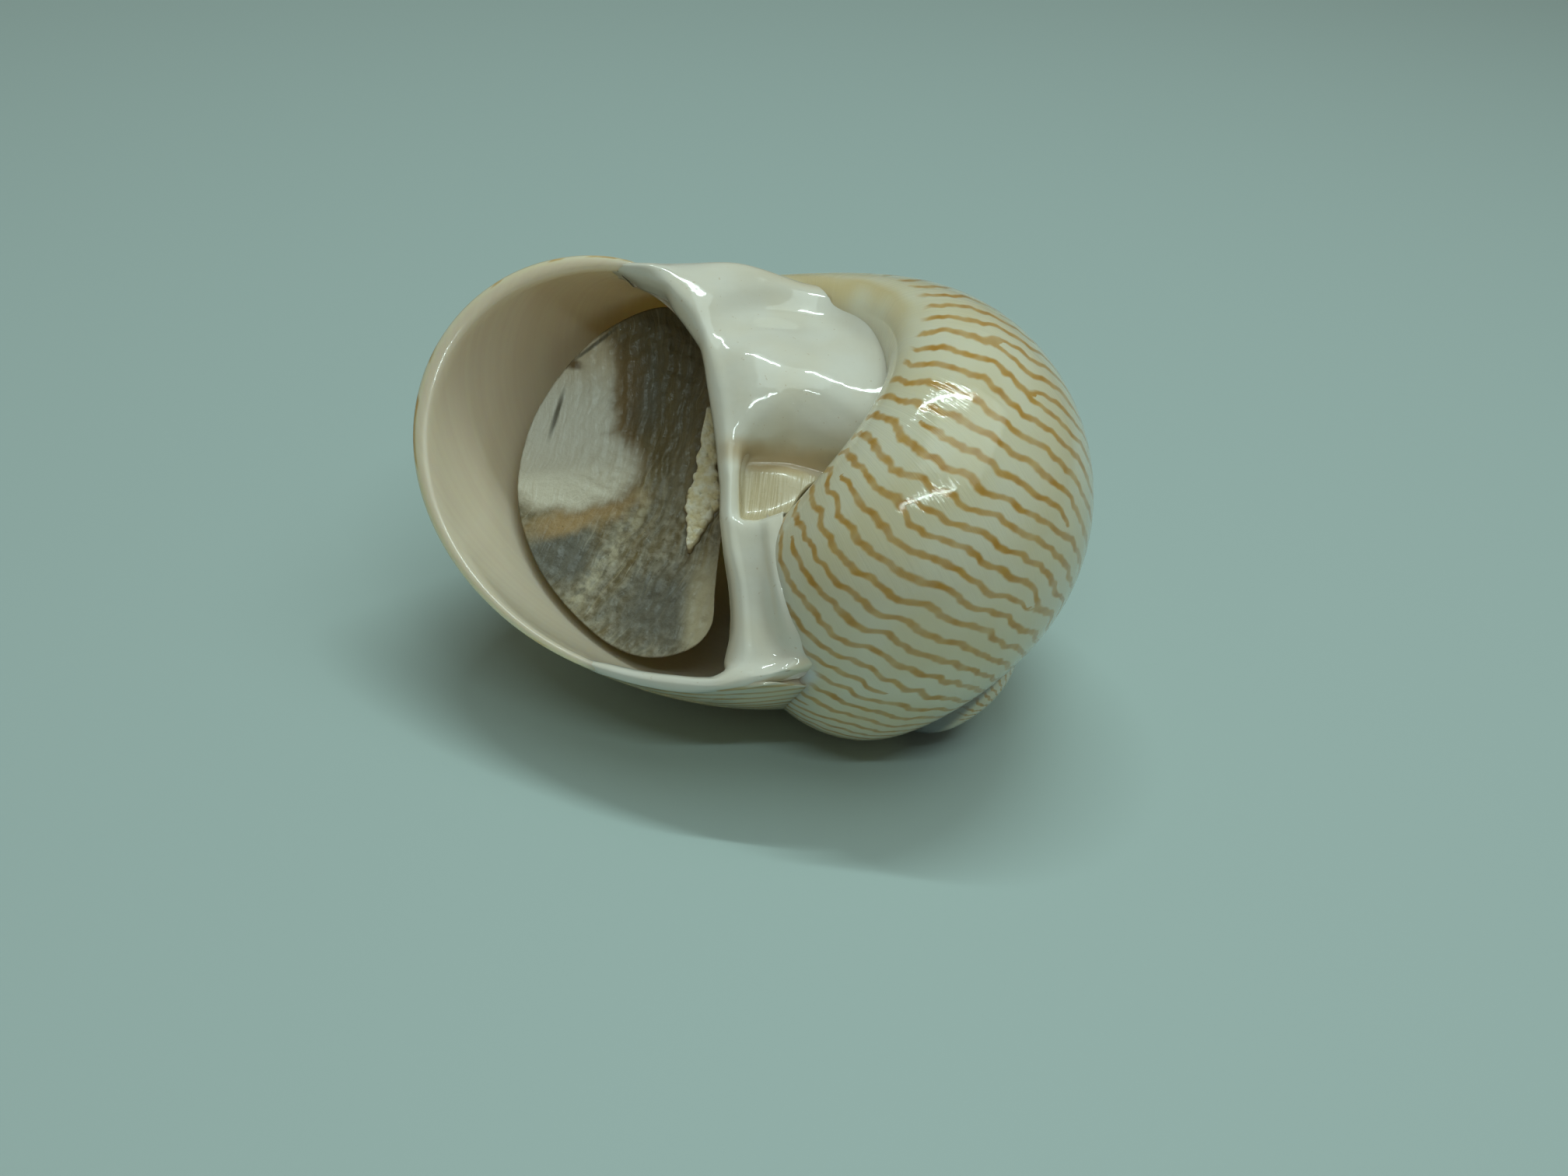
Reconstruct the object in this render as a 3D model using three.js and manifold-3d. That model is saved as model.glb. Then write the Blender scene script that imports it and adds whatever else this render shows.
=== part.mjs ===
import * as THREE from 'three';
import { ParametricGeometry } from 'three/addons/geometries/ParametricGeometry.js';
import { mergeVertices } from 'three/addons/utils/BufferGeometryUtils.js';
import Module from 'manifold-3d';

// A moon snail shell with its operculum. Every whorl is the same leaning oval, turned about
// the shell axis and scaled with the growth angle, so the whole shell is one growth law.
// The angle grows towards the lip: 0 is at the outer lip, one turn back is -2 pi.
// Lengths are millimetres and angles are radians unless a name says degrees.

// growth of the whorls
const turn = 2 * Math.PI;
const growthRate = 0.1336;
const radiusPower = 1.11;
const dropPower = 1.183;
const turnsBuilt = 3.6;
const axisClearance = 0.3;

// leaning oval of the whorl at the lip
const ovalRadius = 7.93;
const ovalDrop = 18.29;
const ovalHalfWidth = 10.53;
const ovalHalfHeight = 12.92;
const ovalLean = 0.266;

// the last half turn grows taller, leans over and draws in
const lateTurn = Math.PI;
const lateTaller = 0.233;
const lateLean = 0.261;
const lateDrawIn = 1.92;

// flat plane of the lip
const lipLean = 0.538;
const lipYaw = 0.312;
const lipOverrun = 0.95;

// shell wall, as a share of the oval
const wallShare = 0.085;
const lipWallShare = 0.05;
const lipThinning = 0.9;
const hollowTurns = 0.92;

// operculum
const operculumDepth = 4.7;
const operculumEdge = 0.45;
const operculumMiddle = 1.0;
const operculumDish = 0.35;
const operculumCentre = [-0.3, 0.2, -0.1];
const operculumOutline = [
  [5.2, 8.6], [2.4, 9.2], [-0.5, 8.5], [-3.5, 6.6], [-5.6, 3.5], [-6.1, 0.0], [-5.5, -3.2],
  [-4.2, -6.0], [-2.7, -7.3], [-0.8, -7.7], [0.3, -7.2], [1.2, -5.7], [2.3, -3.9],
  [3.6, -2.0], [5.1, 0.0], [6.1, 2.1], [6.5, 4.3], [6.4, 6.5],
];

// resting pose on a table, as turns in degrees about X, Y and Z
const restTurn = [160.2, 32.9, 159.7];
const wornFlatDepth = 0.2;

// small dome that closes the apex
const apexRadius = 0.7;
const apexHeight = -0.5;

// The inner side of the whorl faces the umbilicus. These are points of its outline in the
// oval's own unit circle, from the umbilical rim over the furrow, the funicle's ridge and the
// hollow behind it, to the whorl before. Early whorls have a deeper furrow than the lip.
const earlyRimAngle = -1.57;
const lateRimAngle = -2.21;
const earlyInner = [
  [-0.17, -0.86], [-0.27, -0.68], [-0.40, -0.54], [-0.60, -0.38], [-0.66, -0.20],
  [-0.55, 0.00], [-0.34, 0.14], [-0.20, 0.28], [-0.16, 0.42], [-0.10, 0.60],
];
const lateInner = [
  [-0.66, -0.68], [-0.70, -0.57], [-0.73, -0.47], [-0.75, -0.36], [-0.72, -0.18],
  [-0.56, 0.00], [-0.34, 0.12], [-0.14, 0.23], [0.12, 0.33], [0.24, 0.52],
];
const earlyCloseAngle = 1.55;
const lateCloseAngle = 1.30;
const furrowStart = -2.1;
const furrowEnd = -0.9;
const backStart = 0.3;
const backEnd = 1.2;

// the inner side of the hollow, from its front end over the columella to the back corner
const earlyColumella = [
  [-0.10, -0.72], [-0.20, -0.54], [-0.36, -0.38], [-0.46, -0.22], [-0.40, -0.04],
  [-0.24, 0.12], [-0.05, 0.27], [0.10, 0.42], [0.20, 0.58],
];
const lateColumella = [
  [-0.56, -0.68], [-0.585, -0.50], [-0.575, -0.32], [-0.50, -0.14], [-0.34, 0.01],
  [-0.06, 0.135], [0.27, 0.223], [0.50, 0.285], [0.72, 0.325],
];
const earlyFrontAngle = -1.75;
const lateFrontAngle = -2.12;
const earlyBackAngle = 1.25;
const lateBackAngle = 0.40;

const wasm = await Module();
wasm.setup();

const mix = THREE.MathUtils.lerp;
const smooth = THREE.MathUtils.smoothstep;

// how far into the last half turn, rising as a square and going on past the lip
const lateness = (angle) => Math.max(0, (angle + lateTurn) / lateTurn) ** 2;

// point of the leaning oval's plane, from the oval's unit circle to the shell's own frame
function place(angle, across, along, target) {
  const size = Math.exp(growthRate * angle);
  const late = lateness(angle);
  const lean = ovalLean + lateLean * late;
  const x = across * ovalHalfWidth * size;
  const y = along * ovalHalfHeight * size * (1 + lateTaller * late);
  const centre = ovalRadius * size ** radiusPower - lateDrawIn * late;
  const radius = centre + x * Math.cos(lean) - y * Math.sin(lean);
  const height = x * Math.sin(lean) + y * Math.cos(lean) - ovalDrop * size ** dropPower;
  const clear = Math.max(radius, axisClearance * size);
  return target.set(clear * Math.cos(angle), -clear * Math.sin(angle), height);
}

const spline = (points) => new THREE.CatmullRomCurve3(points.map(([x, y]) => new THREE.Vector3(x, y, 0)));
const rimPoint = (angle) => [Math.cos(angle), Math.sin(angle)];

// Closed outline: an arc of the oval, then the inner side. Both are blended from early to late,
// the front end of the inner side by one share and its back end by another.
function outline(early, late, arcShare) {
  const curves = [early, late].map(({ start, end, inner, size }) => spline([
    rimPoint(end).map((value) => value * size), ...inner.toReversed(),
    rimPoint(start).map((value) => value * size),
  ]));
  return (around, front, back, size) => {
    if (around <= arcShare) {
      const start = mix(early.start, late.start, front);
      const angle = mix(start, mix(early.end, late.end, back), around / arcShare);
      return [Math.cos(angle) * size, Math.sin(angle) * size];
    }
    const along = (around - arcShare) / (1 - arcShare);
    const blend = mix(back, front, smooth(along, 0.3, 0.62));
    const from = curves[0].getPoint(along);
    const to = curves[1].getPoint(along);
    return [mix(from.x, to.x, blend), mix(from.y, to.y, blend)];
  };
}

const whorlOutline = outline(
  { start: earlyRimAngle, end: earlyCloseAngle, inner: earlyInner, size: 1 },
  { start: lateRimAngle, end: lateCloseAngle, inner: lateInner, size: 1 },
  0.58,
);
const hollowOutline = outline(
  { start: earlyFrontAngle, end: earlyBackAngle, inner: earlyColumella, size: 1 - wallShare },
  { start: lateFrontAngle, end: lateBackAngle, inner: lateColumella, size: 1 - lipWallShare },
  0.62,
);

// closed tube along the growth spiral, with its first and last rows drawn together
function spiralTube(from, to, around, rows, section) {
  return new ParametricGeometry((u, v, target) => {
    const row = Math.round(v * rows);
    const angle = mix(from, to, THREE.MathUtils.clamp((row - 1) / (rows - 2), 0, 1));
    if (row === 0 || row === rows) {
      const [outerX, outerY] = section(0.2, angle);
      const [innerX, innerY] = section(0.8, angle);
      place(angle, mix(outerX, innerX, 0.5), mix(outerY, innerY, 0.5), target);
      return;
    }
    place(angle, ...section(u % 1, angle), target);
  }, around, rows);
}

const frontBlend = (angle) => smooth(angle, furrowStart, furrowEnd);
const backBlend = (angle) => THREE.MathUtils.clamp((lateness(angle) - backStart) / (backEnd - backStart), 0, 1);
const whorlSection = (around, angle) => whorlOutline(around, frontBlend(angle), backBlend(angle), 1);

function hollowSection(around, angle) {
  const wall = mix(lipWallShare, wallShare, smooth(-angle, -0.3, lipThinning));
  return hollowOutline(around, frontBlend(angle), backBlend(angle), 1 - wall);
}

// closed solid from a geometry, without doubled corners or empty triangles
function solid(geometry) {
  const bare = geometry.clone();
  bare.deleteAttribute('normal');
  bare.deleteAttribute('uv');
  const welded = mergeVertices(bare, 1e-5);
  const corners = welded.index.array;
  const kept = [];
  for (let i = 0; i < corners.length; i += 3) {
    const [a, b, c] = [corners[i], corners[i + 1], corners[i + 2]];
    if (a !== b && b !== c && c !== a) kept.push(a, b, c);
  }
  const mesh = new wasm.Mesh({
    numProp: 3,
    vertProperties: new Float32Array(welded.attributes.position.array),
    triVerts: new Uint32Array(kept),
  });
  return new wasm.Manifold(mesh);
}

const lipNormal = new THREE.Vector3(
  Math.cos(lipLean) * Math.sin(lipYaw), -Math.cos(lipLean) * Math.cos(lipYaw), -Math.sin(lipLean),
);
const lipPoint = place(0, 1, 0, new THREE.Vector3());

// large block that holds everything beyond a plane, given by its normal and its distance from the apex
function beyond(normal, distance) {
  const reach = 80;
  const block = new THREE.BoxGeometry(reach, reach, reach).translate(0, 0, reach / 2 + distance);
  block.applyQuaternion(new THREE.Quaternion().setFromUnitVectors(new THREE.Vector3(0, 0, 1), normal));
  return solid(block);
}

const beyondLip = (offset) => beyond(lipNormal, lipPoint.dot(lipNormal) + offset);

// thin dished plate parallel to the lip plane, with its outline in that plane's own axes
function operculumGeometry() {
  const sideways = new THREE.Vector3().crossVectors(lipNormal, new THREE.Vector3(0, 0, 1)).normalize();
  const upward = new THREE.Vector3().crossVectors(lipNormal, sideways);
  const centre = place(...operculumCentre, new THREE.Vector3());
  const depth = centre.clone().sub(lipPoint).dot(lipNormal);
  centre.addScaledVector(lipNormal, -operculumDepth - depth);
  const edge = new THREE.CatmullRomCurve3(operculumOutline.map(([x, y]) => new THREE.Vector3(x, y, 0)), true);
  return new ParametricGeometry((u, v, target) => {
    const top = v <= 0.5;
    const out = 1 - Math.abs(1 - 2 * v);
    const point = edge.getPoint((1 - u) % 1);
    const dish = operculumDish * (1 - out * out);
    const under = mix(operculumMiddle, operculumEdge, out ** 4);
    const inset = top ? out : out * mix(1, 0.96, smooth(out, 0.5, 1));
    target.copy(centre);
    target.addScaledVector(sideways, point.x * inset);
    target.addScaledVector(upward, point.y * inset);
    target.addScaledVector(lipNormal, top ? -dish : -dish - under);
  }, 36, 12);
}

function meshFrom(manifold, name, color, roughness) {
  const { vertProperties, triVerts } = manifold.getMesh();
  const geometry = new THREE.BufferGeometry();
  geometry.setAttribute('position', new THREE.BufferAttribute(new Float32Array(vertProperties), 3));
  geometry.setIndex(new THREE.BufferAttribute(new Uint32Array(triVerts), 1));
  geometry.computeVertexNormals();
  const mesh = new THREE.Mesh(geometry, new THREE.MeshStandardMaterial({ color, roughness, metalness: 0 }));
  mesh.name = name;
  return mesh;
}

// whorls, the older ones coarser because the last one covers them
const wholeStart = -turnsBuilt * turn;
const tube = (from, to, around, rows) => solid(spiralTube(from, to, around, rows, whorlSection));
const lastHalf = tube(-Math.PI, lipOverrun, 46, 28).subtract(beyondLip(0));
const halfBefore = tube(-2.02 * Math.PI, -Math.PI, 46, 17);
const apexDome = solid(new THREE.SphereGeometry(apexRadius, 16, 10).translate(0, 0, apexHeight));
const olderWhorls = [
  tube(-3.02 * Math.PI, -1.99 * Math.PI, 32, 13),
  tube(-4.02 * Math.PI, -2.99 * Math.PI, 22, 12),
  tube(wholeStart, -3.99 * Math.PI, 16, 24),
  apexDome,
].reduce((joined, piece) => joined.add(piece));
const whorls = lastHalf.add(halfBefore).add(olderWhorls);

// hollow of the last whorl
const hollow = [
  [-Math.PI, lipOverrun, 34, 18],
  [-hollowTurns * turn, -0.98 * Math.PI, 28, 11],
].map(([from, to, around, rows]) => solid(spiralTube(from, to, around, rows, hollowSection)))
  .reduce((joined, piece) => joined.add(piece))
  .subtract(beyondLip(0.8))
  .subtract(olderWhorls.add(tube(-2.02 * Math.PI, -1.72 * Math.PI, 42, 6)));

// the shell is worn a little flat where it rests, so it doesn't roll
const restRotation = new THREE.Euler(...restTurn.map(THREE.MathUtils.degToRad));
const down = new THREE.Vector3(0, 0, -1).applyQuaternion(new THREE.Quaternion().setFromEuler(restRotation).invert());
const { vertProperties: shellCorners } = whorls.getMesh();
let lowest = -Infinity;
for (let i = 0; i < shellCorners.length; i += 3) {
  lowest = Math.max(lowest, new THREE.Vector3().fromArray(shellCorners, i).dot(down));
}
const shell = whorls.subtract(hollow).subtract(beyond(down, lowest - wornFlatDepth));

const model = new THREE.Group();
model.add(meshFrom(shell, 'shell', 0xe9e4d4, 0.2));
model.add(meshFrom(solid(operculumGeometry()), 'operculum', 0x8d8678, 0.45));
model.rotation.copy(restRotation);

// the origin is on the table, under the middle of the box
const box = new THREE.Box3().setFromObject(model, true);
model.position.set(-(box.min.x + box.max.x) / 2, -(box.min.y + box.max.y) / 2, -box.min.z);

export default model;
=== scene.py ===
import bpy
import numpy as np
from mathutils import Matrix, Vector


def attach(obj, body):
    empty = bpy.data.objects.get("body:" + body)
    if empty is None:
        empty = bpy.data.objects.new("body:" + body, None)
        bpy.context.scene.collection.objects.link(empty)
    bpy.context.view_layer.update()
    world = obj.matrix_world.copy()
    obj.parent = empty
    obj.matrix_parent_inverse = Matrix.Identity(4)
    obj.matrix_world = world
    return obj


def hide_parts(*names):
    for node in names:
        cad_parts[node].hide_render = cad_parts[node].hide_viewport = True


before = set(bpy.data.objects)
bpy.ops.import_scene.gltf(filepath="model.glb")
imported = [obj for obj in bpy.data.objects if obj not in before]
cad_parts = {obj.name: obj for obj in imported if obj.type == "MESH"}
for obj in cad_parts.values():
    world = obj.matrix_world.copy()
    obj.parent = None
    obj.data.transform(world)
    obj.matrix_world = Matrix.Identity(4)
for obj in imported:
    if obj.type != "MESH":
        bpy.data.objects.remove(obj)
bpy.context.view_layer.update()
mm = 0.001
pi = np.pi
turn = 2 * pi
farAway = 9  # millimetres, further than anything that a distance is compared with

# how the shell grows, in millimetres and radians; angle 0 is at the outer lip
growth = {
    "rate": 0.1336, "radiusPower": 1.11, "dropPower": 1.183, "turnsBuilt": 3.6, "axisClearance": 0.3,
    "ovalRadius": 7.93, "ovalDrop": 18.29, "ovalHalfWidth": 10.53, "ovalHalfHeight": 12.92,
    "ovalLean": 0.266, "lateTaller": 0.233, "lateLean": 0.261, "lateDrawIn": 1.92,
    "lipLean": 0.538, "lipYaw": 0.312, "lipSearch": (-2.6, 0.95), "lipSteps": 1200, "lipReach": 0.66,
}

# how the shell lies on the table: turns in degrees about X, Y and Z, then a shift in millimetres
rest = {"turn": (160.2, 32.9, 159.7), "shift": (11.0393, -5.7300, 1.2100)}

# outline of a whorl and of its hollow, in the unit circle of the whorl's oval
outlines = {
    "arcShare": 0.58,
    "early": {"start": -1.66, "end": 1.55, "inner": (
        (-0.21, -0.87), (-0.27, -0.68), (-0.40, -0.54), (-0.60, -0.38), (-0.66, -0.20),
        (-0.55, 0.00), (-0.34, 0.14), (-0.20, 0.28), (-0.16, 0.42), (-0.10, 0.60))},
    "late": {"start": -2.21, "end": 1.30, "inner": (
        (-0.66, -0.68), (-0.70, -0.57), (-0.73, -0.47), (-0.75, -0.36), (-0.72, -0.18),
        (-0.56, 0.00), (-0.34, 0.12), (-0.14, 0.23), (0.12, 0.33), (0.24, 0.52))},
    "hollowShare": 0.62,
    "hollowEarly": {"start": -1.75, "end": 1.25, "inner": (
        (-0.10, -0.72), (-0.20, -0.54), (-0.36, -0.38), (-0.46, -0.22), (-0.40, -0.04),
        (-0.24, 0.12), (-0.05, 0.27), (0.10, 0.42), (0.20, 0.58))},
    "hollowLate": {"start": -2.12, "end": 0.45, "inner": (
        (-0.56, -0.68), (-0.585, -0.50), (-0.575, -0.32), (-0.50, -0.14), (-0.34, 0.02),
        (-0.08, 0.16), (0.24, 0.27), (0.48, 0.345), (0.72, 0.39))},
    "furrow": (-2.1, -0.9), "back": (0.3, 1.2), "innerBlend": (0.3, 0.62),
    "wall": 0.085, "lipWall": 0.03, "lipThinning": (-0.3, 0.9),
}


def mix(a, b, share):
    return a + (b - a) * share


# smooth step: 0 below low, 1 above high, with a level start and end
def smooth(value, low, high):
    share = np.clip((value - low) / (high - low), 0, 1)
    return share * share * (3 - 2 * share)


def lateness(angle):
    return np.maximum(0, (angle + pi) / pi) ** 2


# a point of the oval's plane: the oval grows as exp(rate * angle), its centre moves out and down
# as powers of that size, and the last half turn leans over, grows taller and draws in
def place(angle, across, along):
    g = growth
    size = np.exp(g["rate"] * angle)
    late = lateness(angle)
    lean = g["ovalLean"] + g["lateLean"] * late
    x = across * g["ovalHalfWidth"] * size
    y = along * g["ovalHalfHeight"] * size * (1 + g["lateTaller"] * late)
    centre = g["ovalRadius"] * size ** g["radiusPower"] - g["lateDrawIn"] * late
    radius = centre + x * np.cos(lean) - y * np.sin(lean)
    height = x * np.sin(lean) + y * np.cos(lean) - g["ovalDrop"] * size ** g["dropPower"]
    radius = np.maximum(radius, g["axisClearance"] * size)
    return np.stack([radius * np.cos(angle), -radius * np.sin(angle), height], -1)


# centripetal Catmull-Rom curve through points, at shares from 0 to 1 of their count
def spline(points, along):
    p = np.asarray(points, float)
    p = np.vstack([2 * p[0] - p[1], p, 2 * p[-1] - p[-2]])
    last = len(p) - 4
    at = np.clip(np.asarray(along, float), 0, 1) * (last + 1)
    i = np.minimum(at.astype(int), last)
    w = (at - i)[..., None]
    a, b, c, d = p[i], p[i + 1], p[i + 2], p[i + 3]
    pairs = ((b, a), (c, b), (d, c))
    step = [np.maximum(np.sum((q - r) ** 2, -1) ** 0.25, 1e-4)[..., None] for q, r in pairs]
    t1 = ((b - a) / step[0] - (c - a) / (step[0] + step[1]) + (c - b) / step[1]) * step[1]
    t2 = ((c - b) / step[1] - (d - b) / (step[1] + step[2]) + (d - c) / step[2]) * step[1]
    return b + t1 * w + (3 * (c - b) - 2 * t1 - t2) * w ** 2 + (2 * (b - c) + t1 + t2) * w ** 3


# closed outline round a whorl: an arc of the oval from its start to its end angle, then the inner side;
# both are blended from their early to their late form. It gives across, along and the oval's own angle.
def outlinePoints(early, late, share, around, front, back, size, sizes):
    start = mix(early["start"], late["start"], front)
    end = mix(early["end"], late["end"], back)
    angle = mix(start, end, around / share)
    along = np.clip((around - share) / (1 - share), 0, 1)
    blend = mix(back, front, smooth(along, *outlines["innerBlend"]))[..., None]
    ends = []
    for form, scale in ((early, sizes[0]), (late, sizes[1])):
        rim = [(np.cos(t) * scale, np.sin(t) * scale) for t in (form["end"], form["start"])]
        ends.append(spline([rim[0], *form["inner"][::-1], rim[1]], along))
    inner = mix(ends[0], ends[1], blend)
    onArc = (around <= share)[..., None]
    arc = np.stack([np.cos(angle) * size, np.sin(angle) * size], -1)
    beyond = np.where(around < 0.8, end + (around - share) * 2, start - (1 - around) * 2)
    return np.where(onArc, arc, inner), np.where(onArc[..., 0], angle, beyond)


def blends(angle):
    front = smooth(angle, *outlines["furrow"])
    low, high = outlines["back"]
    return front, np.clip((lateness(angle) - low) / (high - low), 0, 1)


def whorl(angle, around, scale=1):
    front, back = blends(angle)
    o = outlines
    points, ovalAngle = outlinePoints(o["early"], o["late"], o["arcShare"], around, front, back, 1, (1, 1))
    return place(angle, points[..., 0] * scale, points[..., 1] * scale), ovalAngle


def hollow(angle, around):
    front, back = blends(angle)
    o = outlines
    size = 1 - mix(o["lipWall"], o["wall"], smooth(-angle, *o["lipThinning"]))
    points, ovalAngle = outlinePoints(
        o["hollowEarly"], o["hollowLate"], o["hollowShare"], around, front, back, size,
        (1 - o["wall"], 1 - o["lipWall"]))
    return place(angle, points[..., 0], points[..., 1]), ovalAngle


lipNormal = np.array([
    np.cos(growth["lipLean"]) * np.sin(growth["lipYaw"]),
    -np.cos(growth["lipLean"]) * np.cos(growth["lipYaw"]),
    -np.sin(growth["lipLean"])])
lipHeight = place(np.array(0.0), 1.0, 0.0) @ lipNormal


# angle at which each column of a surface last crosses the plane of the lip; the columns that never do
# lie inside the whorl before, and take an angle between their neighbours'
def lipAngles(surface, around):
    angles = np.linspace(*growth["lipSearch"], growth["lipSteps"])
    ahead = surface(angles[:, None], np.broadcast_to(around, (len(angles), len(around))))[0] @ lipNormal
    ahead = ahead - lipHeight
    crossing = (ahead[:-1] <= 0) & (ahead[1:] > 0)
    last = len(angles) - 2 - np.argmax(crossing[::-1], 0)
    column = np.arange(len(around))
    below, above = ahead[last, column], ahead[last + 1, column]
    found = crossing.any(0)
    angle = mix(angles[last], angles[last + 1], -below / np.where(found, above - below, 1))
    found &= angle < growth["lipReach"]
    return np.interp(around, around[found], angle[found], period=1)


def turnMatrix(axis, degrees):
    return np.array(Matrix.Rotation(np.radians(degrees), 3, axis))


restTurn = turnMatrix("X", rest["turn"][0]) @ turnMatrix("Y", rest["turn"][1]) @ turnMatrix("Z", rest["turn"][2])


# from the shell's own frame in millimetres to the table's frame in metres; what would reach below
# the table is worn flat
def toTable(points):
    standing = points @ restTurn.T + np.array(rest["shift"])
    standing[:, 2] = np.maximum(standing[:, 2], 0)
    return standing * mm


# rounds the corner where the arc of each ring meets its inner side: each point moves step by step
# to the middle of its neighbours, fully at the corner and less with distance along the ring
def softenCorner(rings, around, reach=0.05, steps=60):
    away = np.minimum(around, 1 - around) / reach
    weight = 0.5 * np.exp(-away ** 2)[None, :, None]
    for _ in range(steps):
        rings = rings + weight * ((np.roll(rings, 1, 1) + np.roll(rings, -1, 1)) / 2 - rings)
    return rings


# faces of a grid whose columns close on themselves; rows run along the first axis
def ringFaces(rows, columns, first=0):
    i, j = np.meshgrid(np.arange(rows - 1), np.arange(columns), indexing="ij")
    k = (j + 1) % columns
    quad = np.stack([i * columns + j, i * columns + k, (i + 1) * columns + k, (i + 1) * columns + j], -1)
    return quad.reshape(-1, 4) + first


# closed tube from a grid of rings: its quads, and a fan to a pole at each end
def closedTube(rings):
    rows, count = rings.shape[:2]
    points = rings.reshape(-1, 3)
    points = np.vstack([points, rings[0].mean(0), rings[-1].mean(0)])
    here = np.arange(count)
    after = (here + 1) % count
    last = (rows - 1) * count
    startFan = np.stack([np.full(count, rows * count), after, here], -1)
    endFan = np.stack([np.full(count, rows * count + 1), last + here, last + after], -1)
    return points, [*ringFaces(rows, count).tolist(), *startFan.tolist(), *endFan.tolist()]


def makeMesh(name, points, faces, material):
    mesh = bpy.data.meshes.new(name)
    mesh.from_pydata(points.tolist(), [], faces)
    mesh.polygons.foreach_set("use_smooth", np.ones(len(mesh.polygons), bool))
    mesh.materials.append(material)
    mesh.update()
    piece = bpy.data.objects.new(name, mesh)
    bpy.context.scene.collection.objects.link(piece)
    return piece


# stores values on a mesh under a name: one row of values for each of its points
def storePoints(piece, name, values):
    kind = "FLOAT_VECTOR" if values.ndim == 2 else "FLOAT"
    layer = piece.data.attributes.new(name, kind, "POINT")
    layer.data.foreach_set("vector" if values.ndim == 2 else "value", values.astype(np.float32).ravel())


# stores a count at the corners of the faces: a steady share, and a share that may jump by whole numbers
# between neighbours; a face that spans such a jump counts on instead of back
def storeTurns(piece, name, steady, jumping):
    mesh = piece.data
    corner = np.empty(len(mesh.loops), np.int32)
    mesh.loops.foreach_get("vertex_index", corner)
    start = np.empty(len(mesh.polygons), np.int32)
    mesh.polygons.foreach_get("loop_start", start)
    size = np.empty(len(mesh.polygons), np.int32)
    mesh.polygons.foreach_get("loop_total", size)
    value = jumping[corner]
    first = np.repeat(value[start], size)
    value = steady[corner] + value + np.round(first - value)
    layer = mesh.attributes.new(name, "FLOAT", "CORNER")
    layer.data.foreach_set("value", value.astype(np.float32))


# short ways to write a material's nodes; each gives the socket that carries its result
class Nodes:
    def __init__(self, tree):
        self.tree = tree

    def plug(self, value, socket):
        if isinstance(value, bpy.types.NodeSocket):
            self.tree.links.new(value, socket)
        elif value is not None:
            socket.default_value = value

    def math(self, operation, a, b=None, clamp=False):
        node = self.tree.nodes.new("ShaderNodeMath")
        node.operation = operation
        node.use_clamp = clamp
        self.plug(a, node.inputs[0])
        self.plug(b, node.inputs[1])
        return node.outputs[0]

    def times(self, value, *factors):
        for factor in factors:
            value = self.math("MULTIPLY", value, factor)
        return value

    def plus(self, a, b, clamp=False):
        return self.math("ADD", a, b, clamp)

    def minus(self, a, b):
        return self.math("SUBTRACT", a, b)

    # rises from 0 at low to 1 at high, or falls where high is the lower one
    def rise(self, value, low, high):
        node = self.tree.nodes.new("ShaderNodeMapRange")
        node.interpolation_type = "SMOOTHSTEP"
        for socket, given in zip(("Value", "From Min", "From Max"), (value, min(low, high), max(low, high))):
            self.plug(given, node.inputs[socket])
        node.inputs["To Min"].default_value = 0.0 if low < high else 1.0
        node.inputs["To Max"].default_value = 1.0 if low < high else 0.0
        return node.outputs["Result"]

    def mix(self, share, a, b):
        node = self.tree.nodes.new("ShaderNodeMix")
        node.data_type = "RGBA"
        self.plug(share, node.inputs["Factor"])
        for value, socket in ((a, node.inputs[6]), (b, node.inputs[7])):
            self.plug((*value, 1) if isinstance(value, tuple) else value, socket)
        return node.outputs[2]

    # a second colour laid over the first where a mask is 1, with some strength
    def over(self, colour, second, mask, strength=None):
        return self.mix(mask if strength is None else self.times(mask, strength), colour, second)

    def point(self, x, y, z=0.0):
        node = self.tree.nodes.new("ShaderNodeCombineXYZ")
        for value, socket in zip((x, y, z), node.inputs):
            self.plug(value, socket)
        return node.outputs[0]

    def parts(self, vector):
        node = self.tree.nodes.new("ShaderNodeSeparateXYZ")
        self.plug(vector, node.inputs[0])
        return node.outputs[0], node.outputs[1], node.outputs[2]

    def noise(self, vector, scale, detail=2.0, roughness=0.5, warp=0.0):
        node = self.tree.nodes.new("ShaderNodeTexNoise")
        self.plug(vector, node.inputs["Vector"])
        settings = {"Scale": scale, "Detail": detail, "Roughness": roughness, "Distortion": warp}
        for name, value in settings.items():
            self.plug(value, node.inputs[name])
        return node.outputs["Fac"]

    # a noise about zero, with its grain stretched by a scale for each direction
    def drift(self, x, y, scaleX, scaleY, size, detail=1.0):
        spot = self.point(self.times(x, scaleX), self.times(y, scaleY))
        return self.times(self.minus(self.noise(spot, 1.0, detail), 0.5), size)

    def attribute(self, name, kind="Vector"):
        node = self.tree.nodes.new("ShaderNodeAttribute")
        node.attribute_name = name
        return node.outputs[kind]

    def bump(self, height, strength, distance):
        node = self.tree.nodes.new("ShaderNodeBump")
        node.inputs["Strength"].default_value = strength
        node.inputs["Distance"].default_value = distance
        self.plug(height, node.inputs["Height"])
        return node.outputs["Normal"]


def newMaterial(name):
    material = bpy.data.materials.new(name)
    material.use_nodes = True
    return material, Nodes(material.node_tree), material.node_tree.nodes["Principled BSDF"]


def plainMaterial(name, colour, roughness):
    material, nodes, shader = newMaterial(name)
    shader.inputs["Base Color"].default_value = (*colour, 1)
    shader.inputs["Roughness"].default_value = roughness
    return material


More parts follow.
